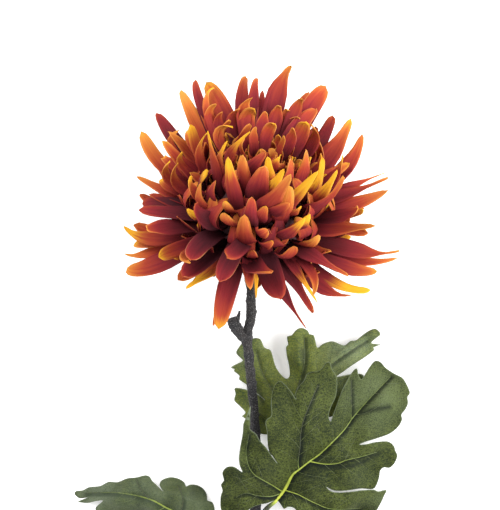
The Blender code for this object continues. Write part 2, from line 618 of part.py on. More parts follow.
def calyx(shared_material):
    """The cup of small pointed bracts that the head sits in."""
    top = BLOOM_CENTRE - BLOOM_AXIS * (CORE_BACK + GAP)
    points = [top - BLOOM_AXIS * CALYX_LENGTH * share for share, width in CALYX_SHAPE]
    radii = [CALYX_RADIUS * width for share, width in CALYX_SHAPE]
    points.append(top - BLOOM_AXIS * CALYX_LENGTH)
    radii.append(STEM_RADIUS * 1.5)
    cup = object_from("calyx", tube(points, radii, 16), shared_material)
    bracts = []
    for row, (start, end, count) in enumerate(BRACT_ROWS):
        for i in range(count):
            turn = 2.0 * math.pi * (i + 0.5 * row) / count
            out = direction_about(BLOOM_AXIS, math.pi / 2.0, turn)
            low = top - BLOOM_AXIS * CALYX_LENGTH * start + out * CALYX_RADIUS * (1.15 - start)
            high = top - BLOOM_AXIS * CALYX_LENGTH * end + out * CALYX_RADIUS * (1.16 - end * 0.55)
            bracts.append(bract(low, high, BLOOM_AXIS.cross(out), out))
    union(cup, bracts, "MANIFOLD")
    keep_outer_body(cup)
    return cup


def blade_height(x, y, heights):
    """The blade's height at a picture point, smooth between the known points, in metres."""
    total = 0.0
    weights = 0.0
    for known_x, known_y, height in heights:
        weight = 1.0 / ((x - known_x) ** 2 + (y - known_y) ** 2 + 30.0) ** 1.6
        total += height * weight
        weights += weight
    return total / weights * MM


def blade_points(outline):
    """The corners of a leaf's outline, then points on a grid inside its box, away from them."""
    flat = [Vector(corner) for corner in outline]
    corners = list(flat)
    row = min(y for x, y in outline) + LEAF_SPACING * 0.5
    while row < max(y for x, y in outline):
        column = min(x for x, y in outline) + LEAF_SPACING * 0.5
        while column < max(x for x, y in outline):
            point = Vector((column, row))
            if min((point - corner).length for corner in corners) > LEAF_SPACING * 0.45:
                flat.append(point)
            column += LEAF_SPACING
        row += LEAF_SPACING
    return flat


def blade(name, outline, heights, shared_material):
    """The leaf's sheet, waved by its heights and as thick as LEAF_THICKNESS."""
    corners = list(range(len(outline)))
    edges = [(i, (i + 1) % len(outline)) for i in corners]
    points, _, faces, _, _, _ = delaunay_2d_cdt(blade_points(outline), edges, [corners], 1, 0.01)
    bm = bmesh.new()
    upper = []
    lower = []
    half = LEAF_THICKNESS / 2.0
    for point in points:
        middle = place(point.x, point.y, max(blade_height(point.x, point.y, heights), half))
        upper.append(bm.verts.new(middle + Vector((0.0, 0.0, half))))
        lower.append(bm.verts.new(middle - Vector((0.0, 0.0, half))))
    sides = set()
    for face in faces:
        bm.faces.new([upper[i] for i in face])
        bm.faces.new([lower[i] for i in reversed(face)])
        sides.update(zip(face, list(face[1:]) + [face[0]]))
    for i, j in sorted(sides):
        if (j, i) not in sides:
            bm.faces.new((upper[j], upper[i], lower[i], lower[j]))
    for vertex in [vertex for vertex in bm.verts if not vertex.link_faces]:
        bm.verts.remove(vertex)
    bmesh.ops.triangulate(bm, faces=bm.faces)
    return object_from(name, bm, shared_material)


def leaf(name, outline, heights, ribs, stalk, shared_material):
    """A thin waved blade with raised ribs; the first rib runs on into the stalk."""
    sheet = blade(name, outline, heights, shared_material)
    cords = []
    for number, rib in enumerate(ribs):
        thickest = RIB_RADIUS if number == 0 else RIB_RADIUS * 0.75
        line = []
        radii = []
        for step, (x, y) in enumerate(rib):
            radius = thickest * (1.0 - 0.6 * step / (len(rib) - 1))
            height = max(blade_height(x, y, heights) + LEAF_THICKNESS * 0.35, radius)
            line.append(place(x, y, height))
            radii.append(radius)
        if number == 0:
            line = [place(x, y, height * MM) for x, y, height in stalk] + line
            radii = [RIB_RADIUS * 1.5, RIB_RADIUS * 1.3] + radii
        cords.append(object_from("rib", tube(line, radii, 5 if number == 0 else 4)))
    union(sheet, cords)
    keep_outer_body(sheet)
    return sheet


def build():
    remove_start_objects()
    petal_cloth = material("petal_cloth", (0.42, 0.07, 0.03), 0.75)
    leaf_cloth = material("leaf_cloth", (0.08, 0.13, 0.05), 0.7)
    stem_coat = material("stem_coat", (0.05, 0.045, 0.04), 0.85)
    made = [bloom(petal_cloth), calyx(leaf_cloth), stem(stem_coat)]
    made.append(leaf("leaf_front", FRONT_OUTLINE, FRONT_HEIGHTS, FRONT_RIBS,
                     [(263.0, 515, 9.0), (267.2, 508, 12.4)], leaf_cloth))
    made.append(leaf("leaf_back", BACK_OUTLINE, BACK_HEIGHTS, BACK_RIBS,
                     [(262.8, 462, 9.5), (270, 453, 8.5)], leaf_cloth))
    made.append(leaf("leaf_left", LEFT_OUTLINE, LEFT_HEIGHTS, LEFT_RIBS,
                     [(246.2, 541, 5.2), (226, 533, 6.6)], leaf_cloth))
    flower = bpy.data.objects.new("flower", None)
    bpy.context.scene.collection.objects.link(flower)
    for thing in made:
        thing.parent = flower


build()
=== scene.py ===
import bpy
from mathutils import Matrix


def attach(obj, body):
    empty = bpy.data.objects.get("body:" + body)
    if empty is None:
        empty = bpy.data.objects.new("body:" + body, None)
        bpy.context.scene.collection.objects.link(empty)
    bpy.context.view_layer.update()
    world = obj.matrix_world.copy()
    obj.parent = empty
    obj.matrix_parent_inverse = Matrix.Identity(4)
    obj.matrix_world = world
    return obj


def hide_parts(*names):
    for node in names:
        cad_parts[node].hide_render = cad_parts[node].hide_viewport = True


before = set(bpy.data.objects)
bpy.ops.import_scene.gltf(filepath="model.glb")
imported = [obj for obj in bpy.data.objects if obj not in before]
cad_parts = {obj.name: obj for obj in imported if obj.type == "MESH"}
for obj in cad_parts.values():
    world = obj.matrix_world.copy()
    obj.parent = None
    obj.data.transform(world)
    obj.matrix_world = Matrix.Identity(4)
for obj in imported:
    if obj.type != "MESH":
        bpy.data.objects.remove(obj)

"""The looks of a cut cloth chrysanthemum that lies on a white table, seen from straight above.

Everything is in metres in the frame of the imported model, +Z up, and the top of the picture is +Y.
Points read from the picture are turned into places by place(). Each petal is a copy of one flat
blank, bent along its own curve, and each leaf is a fine sheet with its ribs, veins and folds.
"""
import math
import random

import bpy
import numpy as np
from mathutils import Matrix, Vector, noise
from mathutils.geometry import delaunay_2d_cdt

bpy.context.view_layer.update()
MM = 0.001

# Sizes and places shared with the model
POINT_SIZE = 0.533 * MM
VIEW_DISTANCE = 1.2
PICTURE_MIDDLE = (250.0, 255.0)
PICTURE_HEIGHT = 510
BLOOM_POINT = (255.0, 225.0)
BLOOM_CENTRE = Vector((7.0 * MM, 57.0 * MM, 56.0 * MM))
BLOOM_AXIS = Vector((0.13, 0.65, 0.75)).normalized()
MOUND_CENTRE = BLOOM_CENTRE + BLOOM_AXIS * 17.0 * MM
MOUND_AXIS = Vector((0.16, 0.76, 0.63)).normalized()
HOLLOW_AXIS = Vector((0.18, 0.88, 0.44)).normalized()
MOUND_REACH = 37.0 * MM
HOLLOW_REACH = 26.0 * MM
HOLLOW_ANGLES = (math.radians(15.0), math.radians(38.0))
CURLED_LENGTH = 19.0 * MM
FLORET_LENGTH = 4.5 * MM
RAY_LENGTH = 74.0 * MM
CORE_RADIUS = 31.0 * MM
MOUND_CORE_RADIUS = 24.8 * MM
CORE_BACK = 8.0 * MM
UPRIGHT_LENGTH = 63.0 * MM
STANDING_REACH = 52.0 * MM
HANGING_LOSS = 0.5
MOUND_PETAL_WIDTH = 9.2 * MM
RAY_PETAL_WIDTH = 9.8 * MM
CALYX_LENGTH = 16.0 * MM
CALYX_RADIUS = 14.0 * MM
STEM_RADIUS = 2.6 * MM
GAP = 0.3 * MM
GOLDEN_ANGLE = math.radians(137.508)
SEED = 11

# Petals by rule, how many and between which angles from their axis in degrees: those of the model,
# and the finer ones that fill the gaps between them
MOUND_SPREAD, MOUND_FILL = (72, 18.0, 104.0), (60, 18.0, 100.0)
RAY_SPREAD, RAY_FILL = (92, 58.0, 114.0), (40, 62.0, 108.0)
UPRIGHT_SPREAD, UPRIGHT_FILL = (80, 26.0, 62.0), (30, 28.0, 60.0)
FLORET_SPREAD, FLORET_FILL = (8, 3.0, 26.0), (76, 3.0, 40.0)
# How far the filling petals are turned on from those of the model
FILL_TURN = 0.9
FLORET_FILL_TURN = 0.5
# What the draws choose between, as shares of the usual size, degrees, and turns in radians
CURLED = {"reach": (0.92, 1.07), "length": (0.7, 1.35), "lean": (4.0, 26.0),
          "slant": (-20.0, 20.0), "width": (0.7, 1.25)}
FLORET = {"reach": (0.9, 1.12), "length": (0.8, 1.7), "width": (0.35, 0.62)}
SPREAD = {"reach": (0.74, 0.95), "side": (-0.14, 0.14), "bow": (-2.0, 13.0), "middle": 0.6,
          "width": (0.8, 1.12)}
UPRIGHT = {"reach": (0.9, 1.08), "side": (-0.08, 0.08), "bow": (-2.0, 9.0), "middle": 0.62,
           "width": (0.85, 1.15)}
PETAL_TWIST = 0.35
# How far down towards a core's middle the roots stand, as shares of its radius
OUTER_ROOT, MOUND_ROOT = 0.6, 0.8
# Angles from the axis: where outer petals start to stand forward, and the last of their roots
SIDEWAYS = math.radians(84.0)
LAST_ROOT_ANGLE = math.radians(86.0)
FORWARD_LOSS = 17.0 * MM
# The rise of outer tips towards the picture's bottom, and how far the nearest of them reach out
TIP_DROOP = -0.22
NEAR_TIP_REACH = RAY_LENGTH * 0.87
# How close a filling petal may come to one that the picture shows (in their widths, and in
# height), and how much it is drawn back at a time
CLEAR_SHARE, CLEAR_HEIGHT = 0.4, -2.0 * MM
DRAW_BACK, DRAW_BACK_STEPS = 0.93, 4
# Rounds in which a place and its height are brought to agree
ROUNDS = 12
# How much wider petals are than they look from the viewer, how far they turn their face to the
# viewer, from 0 (not at all) to 1, and how steeply their tips rise from the middle, by kind
WIDENING = {"rim": 1.2, "face": 1.3, "standing": 1.15}
FACING = {"rim": 0.3, "face": 0.6, "standing": 0.3}
TIP_SLOPE = {"face": 0.75, "standing": 0.45}

# The cloth, its blank and its petals: where a petal is widest, where its hook starts, how crowded
# the rows are towards the tip, and its narrowest half width
CLOTH_THICKNESS = 0.32 * MM
ROWS_ALONG = 12
COLUMNS_ACROSS = 4
WIDEST_AT, WIDEST_TO_TIP = 0.55, 0.45
HOOK_FROM, HOOK_LENGTH = 0.62, 0.38
CROWDED_TIP = 1.35
NARROWEST = 0.12 * MM
# The cup: its width at places along it, as shares of its length and radius. Rows of bracts on it:
# where they start and end (0 rim to 1 stem), count, width
CUP_PROFILE = [(0.0, 1.0), (0.3, 0.92), (0.65, 0.55), (1.0, 0.28)]
BRACT_ROWS = [
    (0.98, 0.42, 9, 6.5 * MM), (0.72, 0.16, 13, 6.6 * MM), (0.5, -0.04, 15, 6.4 * MM),
]

# Leaves, in picture points: the mesh's step, rows of points beside each rib, side veins, and the
# side of a rib that lies in shadow, where painted shade darkens the cloth
LEAF_STEP = 2.0
ROWS_BESIDE_RIB = (-2.6, -1.1, 0.0, 1.1, 2.6)
VEIN = {"first": (5.0, 9.0), "gap": (4.5, 8.0), "slant": (42.0, 58.0), "bend": (-1.6, 0.4),
        "wander": (-4.0, 4.0), "step": 1.8, "steps": 22}
SHADED_SIDE = (0.55, 0.83)
# How wide the painted shade is beside the main rib and the others, and how far points keep from
# the edge, from a rib and from each other
SHADE_WIDTHS = (7.0, 5.0)
POINT_GAPS = {"edge": 0.7, "inner_edge": 0.6 * LEAF_STEP, "rib": 3.3, "each_other": 0.6}
# Radii of the ribs at their start and end, of the stalk's start, and of the side veins
MAIN_RIB_RADII = (1.0 * MM, 0.2 * MM)
RIB_RADII = (0.42 * MM, 0.16 * MM)
STALK_RADIUS = 1.7 * MM
VEIN_RADII = (0.17 * MM, 0.07 * MM)
VEIN_LIGHTS = (0.12, 0.03)

# The stem's rough coating: size and height of its lumps and of its grain
COATING = (4.0 * MM, 0.5 * MM, 1.2 * MM, 0.55 * MM)

# Lamps, with place, size and watts, what they aim at, and the strength of the white room
LAMPS = {"key_lamp": ((-0.5, 0.65, 1.1), 0.7, 11.5), "fill_lamp": ((1.0, 0.05, 0.8), 0.9, 21.0)}
LAMP_AIM = (0.0, 0.02, 0.03)
WORLD_LIGHT = 1.0
TABLE_SIZE = 8.0
SENSOR_HEIGHT = 36.0

# Petals whose tips show by themselves: tip x, tip y, a point half way along (x, y), width in
# picture points, how much higher than the rule the tip stands in millimetres, how warm the petal
# is (0 maroon to 1 orange; the low warmth of some lower petals is partly painted shade), how much
# of the tip is gold, how far the tip hooks inwards (in widths), and how blunt the tip is (0 whisker
# to 1 round)
RIM_PETALS = [
    (141, 132, 176, 176, 14, 4, 0.68, 0.3, 0.9, 0.9),
    (157, 113, 184, 152, 14, -4, 0.15, 0.0, 0.0, 0.7),
    (181, 90, 205, 140, 14, 0, 0.78, 0.3, 0.1, 0.8),
    (195, 80, 207, 122, 9, -6, 0.32, 0.0, 0.0, 0.8),
    (206, 83, 230, 128, 17, 4, 0.55, 0.4, 0.2, 0.9),
    (246, 77, 242, 114, 12, -4, 0.5, 0.0, 0.0, 0.6),
    (257, 78, 253, 112, 10, 2, 0.46, 0.1, 0.0, 0.5),
    (262, 91, 262, 132, 13, 7, 0.25, 0.1, 0.3, 0.4),
    (291, 66, 274, 105, 18, 2, 0.62, 0.1, 0.2, 0.3),
    (326, 87, 299, 128, 17, 0, 0.42, 0.05, 0.2, 0.95),
    (309, 92, 286, 132, 12, -7, 0.45, 0.15, 0.0, 0.5),
    (316, 109, 290, 140, 15, 9, 0.38, 0.1, 0.2, 0.8),
    (333, 116, 312, 156, 14, -4, 0.24, 0.0, 0.0, 0.8),
    (351, 119, 324, 163, 20, 3, 0.6, 0.45, 0.0, 0.35),
    (362, 134, 338, 178, 16, -4, 0.52, 0.1, 0.0, 0.5),
    (349, 163, 316, 184, 14, 9, 0.55, 0.35, 0.2, 0.6),
    (388, 178, 336, 197, 14, 0, 0.52, 0.1, 0.3, 0.2),
    (384, 173, 340, 190, 9, -5, 0.56, 0.4, 0.4, 0.0),
    (388, 190, 338, 210, 15, 5, 0.6, 0.15, 0.1, 0.7),
    (375, 226, 325, 229, 17, 9, 0.62, 0.15, 0.0, 0.4),
    (399, 251, 352, 250, 17, 0, 0.6, 0.2, 0.3, 0.0),
    (397, 258, 344, 259, 12, -4, 0.58, 0.2, 0.2, 0.3),
    (377, 271, 336, 265, 13, 6, 0.56, 0.4, 0.0, 0.7),
    (348, 276, 306, 254, 15, 11, 0.4, 0.1, 0.0, 0.4),
    (370, 290, 330, 281, 12, 0, 0.68, 1.15, 0.1, 0.6),
    (352, 295, 316, 284, 12, 2, 0.5, 0.3, 0.2, 0.1),
    (317, 302, 290, 262, 9, 0, 0.5, 0.85, 0.0, 0.3),
    (313, 313, 283, 266, 18, 4, 0.2, 0.05, 0.0, 0.4),
    (306, 328, 279, 284, 10, -4, 0.25, 0.0, -0.5, 0.1),
    (280, 299, 266, 262, 20, 9, 0.1, 0.0, 0.3, 1.0),
    (256, 298, 256, 262, 7, -12, 0.9, 0.9, 0.0, 0.4),
    (219, 329, 230, 280, 17, 8, 0.42, 0.45, 0.0, 0.9),
    (213, 326, 228, 280, 10, -6, 0.35, 0.05, 0.0, 0.4),
    (186, 288, 212, 268, 14, 2, 0.95, 1.0, 0.1, 0.2),
    (220, 282, 234, 252, 16, 9, 0.08, 0.0, 0.2, 1.0),
    (183, 277, 206, 257, 17, 3, 0.1, 0.0, 0.0, 1.0),
    (127, 268, 160, 264, 17, 0, 0.66, 0.25, 0.2, 0.9),
    (125, 254, 156, 251, 9, -5, 0.85, 0.35, 0.4, 0.2),
    (124, 226, 158, 239, 14, 4, 0.8, 0.85, 0.1, 0.25),
    (135, 243, 162, 240, 12, -2, 0.72, 0.5, 0.2, 1.0),
    (139, 210, 190, 214, 13, 5, 0.14, 0.0, 0.3, 0.9),
    (137, 177, 180, 198, 14, 0, 0.6, 0.15, 0.0, 0.3),
    (149, 194, 190, 208, 12, 5, 0.25, 0.05, 0.2, 0.7),
    (191, 260, 206, 240, 16, 9, 0.12, 0.05, 0.4, 1.0),
    (227, 257, 242, 245, 14, 16, 0.22, 0.0, 0.2, 1.1),
    (159, 257, 182, 248, 13, 6, 0.66, 0.6, 0.1, 0.8),
]
FACE_PETALS = [
    (228, 157, 230, 200, 12, 0, 0.52, 0.66, 0.2, 0.6),
    (250, 132, 225, 156, 9, 0, 0.7, 0.85, 0.2, 0.2),
    (227, 141, 213, 168, 10, 0, 0.7, 0.7, 0.2, 0.2),
    (208, 131, 211, 172, 9, 0, 0.65, 0.6, 0.0, 0.1),
    (201, 183, 198, 206, 11, 0, 0.65, 0.25, 0.2, 0.4),
    (189, 209, 199, 221, 12, 3, 0.78, 0.85, 0.2, 0.8),
    (244, 215, 242, 244, 17, 3, 0.55, 0.15, 0.1, 0.6),
    (252, 197, 249, 224, 12, 0, 0.3, 0.0, 0.0, 0.7),
    (266, 206, 260, 220, 11, 0, 0.5, 0.4, 0.2, 0.7),
    (305, 218, 289, 240, 12, 2, 0.5, 0.7, 0.1, 0.4),
    (318, 235, 308, 247, 9, 4, 0.78, 0.0, 0.3, 0.9),
    (294, 246, 290, 258, 15, 3, 0.42, 0.05, 0.2, 0.8),
    (344, 177, 323, 211, 20, 4, 0.5, 0.1, 0.3, 0.1),
    (318, 171, 297, 205, 11, 2, 0.8, 1.0, 0.1, 0.5),
    (337, 170, 322, 203, 11, 2, 0.78, 1.0, 0.1, 0.4),
    (322, 158, 322, 190, 14, 0, 0.75, 1.1, 0.0, 0.5),
    (343, 155, 326, 178, 11, 0, 0.5, 0.65, 0.0, 0.2),
    (306, 150, 308, 178, 12, 0, 0.6, 0.2, 0.2, 0.4),
    (284, 169, 272, 196, 12, 0, 0.8, 1.0, 0.1, 0.4),
    (291, 175, 269, 212, 18, 2, 0.58, 0.1, 0.2, 0.4),
    (289, 186, 290, 216, 15, 2, 0.72, 0.3, 0.3, 0.8),
    (264, 166, 257, 194, 17, 0, 0.45, 0.1, 0.2, 0.7),
    (243, 155, 241, 182, 13, 0, 0.65, 0.25, 0.2, 0.6),
    (268, 157, 272, 182, 11, 0, 0.8, 1.0, 0.2, 0.5),
    (207, 133, 205, 160, 8, 2, 0.75, 0.75, 0.3, 0.0),
    (226, 201, 227, 212, 8, 2, 0.72, 0.4, 0.1, 0.9),
    (225, 213, 227, 224, 12, 2, 0.6, 0.25, 0.3, 1.0),
]
# Petals that stand up behind the hollow in the middle, in the same order of numbers, where the
# height is what their tips reach beyond the usual one
STANDING_PETALS = [
    (216, 104, 211, 126, 12, 0, 0.69, 0.2, 0.0, 0.4),
    (233, 127, 220, 140, 12, 0, 0.9, 0.6, 0.7, 0.5),
    (252, 98, 243, 118, 13, 0, 0.75, 0.2, 0.1, 0.4),
    (255, 110, 246, 126, 15, 0, 0.71, 0.4, 0.2, 0.8),
    (256, 127, 253, 141, 10, 0, 0.75, 0.05, 0.1, 0.3),
    (275, 124, 266, 138, 11, 2, 0.69, 0.5, 0.5, 0.9),
    (279, 106, 275, 122, 13, 0, 0.64, 0.2, 0.1, 0.4),
    (287, 110, 284, 122, 9, 0, 0.71, 0.25, 0.1, 0.5),
    (302, 99, 293, 116, 12, 0, 0.69, 0.2, 0.1, 0.3),
    (305, 122, 298, 140, 16, 0, 0.67, 0.55, 0.2, 0.8),
    (300, 119, 285, 130, 9, 0, 0.59, 0.2, 0.6, 0.3),
    (311, 124, 312, 147, 12, 3, 0.65, 0.2, 0.3, 0.5),
    (240, 108, 231, 128, 12, -1, 0.54, 0.1, 0.0, 0.4),
    (222, 112, 220, 132, 12, -2, 0.49, 0.1, 0.1, 0.5),
    (266, 112, 262, 130, 12, -2, 0.51, 0.05, 0.1, 0.5),
    (293, 128, 289, 144, 11, 3, 0.59, 0.1, 0.2, 0.5),
    (244, 138, 241, 150, 9, 3, 0.89, 0.3, 0.3, 0.5),
    (284, 136, 280, 150, 9, 4, 0.79, 0.3, 0.3, 0.5),
]
# More petals that show by themselves, finer than the model's, in the same order of numbers
MORE_RIM_PETALS = [
    (313, 296, 309, 270, 9, 8, 0.7, 0.3, 0.0, 0.4), (147, 229, 168, 228, 14, 4, 0.5, 0.1, 0.1, 0.6),
    (143, 205, 170, 206, 14, 4, 0.16, 0.0, 0.2, 0.9),
    (358, 208, 340, 217, 12, 6, 0.5, 0.2, 0.0, 0.8), (363, 210, 345, 216, 9, 2, 0.8, 0.7, 0.0, 0.6),
    (250, 289, 249, 262, 12, 6, 0.45, 0.2, 0.0, 0.6),
    (271, 273, 253, 267, 17, 15, 0.34, 0.0, 0.0, 0.9),
    (214, 88, 208, 118, 7, 9, 0.8, 0.7, 0.0, 0.2), (190, 263, 190, 252, 9, 22, 0.8, 0.0, 0.3, 0.8),
    (179, 130, 176, 156, 9, 8, 0.68, 0.4, 0.1, 0.4),
    (189, 130, 195, 150, 9, 8, 0.75, 0.6, 0.1, 0.4),
    (162, 179, 174, 190, 9, 8, 0.72, 0.7, 0.1, 0.5),
    (165, 157, 176, 168, 9, 8, 0.7, 0.65, 0.1, 0.6),
    (315, 127, 302, 160, 14, 0, 0.3, 0.0, 0.0, 0.7),
]
MORE_FACE_PETALS = [
    (253, 250, 252, 257, 10, 2, 0.35, 0.0, 0.1, 0.8),
    (289, 203, 277, 217, 14, 4, 0.4, 0.0, 0.2, 0.5), (301, 206, 295, 216, 9, 2, 0.7, 0.6, 0.1, 0.3),
    (196, 203, 210, 213, 14, 0, 0.2, 0.0, 0.3, 0.8),
    (312, 259, 297, 266, 12, 5, 0.45, 0.2, 0.3, 0.6),
    (309, 214, 303, 231, 14, 3, 0.4, 0.8, 0.1, 0.5), (279, 157, 276, 168, 8, 2, 0.8, 0.8, 0.1, 0.4),
    (268, 230, 259, 233, 10, 4, 0.45, 0.05, 0.6, 0.9),
    (273, 241, 263, 246, 9, 3, 0.45, 0.3, 0.3, 0.6),
    (170, 161, 176, 180, 8, 6, 0.72, 0.5, 0.3, 0.6),
    (178, 163, 183, 184, 8, 6, 0.72, 0.4, 0.3, 0.5),
    (191, 176, 199, 190, 9, 2, 0.72, 0.7, 0.1, 0.5), (182, 152, 189, 168, 8, 4, 0.7, 0.6, 0.1, 0.5),
]
# Dyes, as linear colours; the rim colour is a paler cut edge and also a painted edge highlight
PETAL_DYES = [
    (0.0, (0.05, 0.01, 0.014)), (0.2, (0.1, 0.013, 0.018)), (0.42, (0.19, 0.018, 0.022)),
    (0.62, (0.31, 0.042, 0.021)), (0.8, (0.45, 0.115, 0.026)), (1.0, (0.57, 0.22, 0.038)),
]
GOLD_DYE = (0.7, 0.34, 0.02)
RIM_DYE_AND_HIGHLIGHT = (0.62, 0.29, 0.11)
RIB_DYES = [
    (0.0, (0.022, 0.028, 0.015)), (0.25, (0.1, 0.14, 0.024)), (0.6, (0.26, 0.32, 0.035)),
    (1.0, (0.46, 0.5, 0.045)),
]
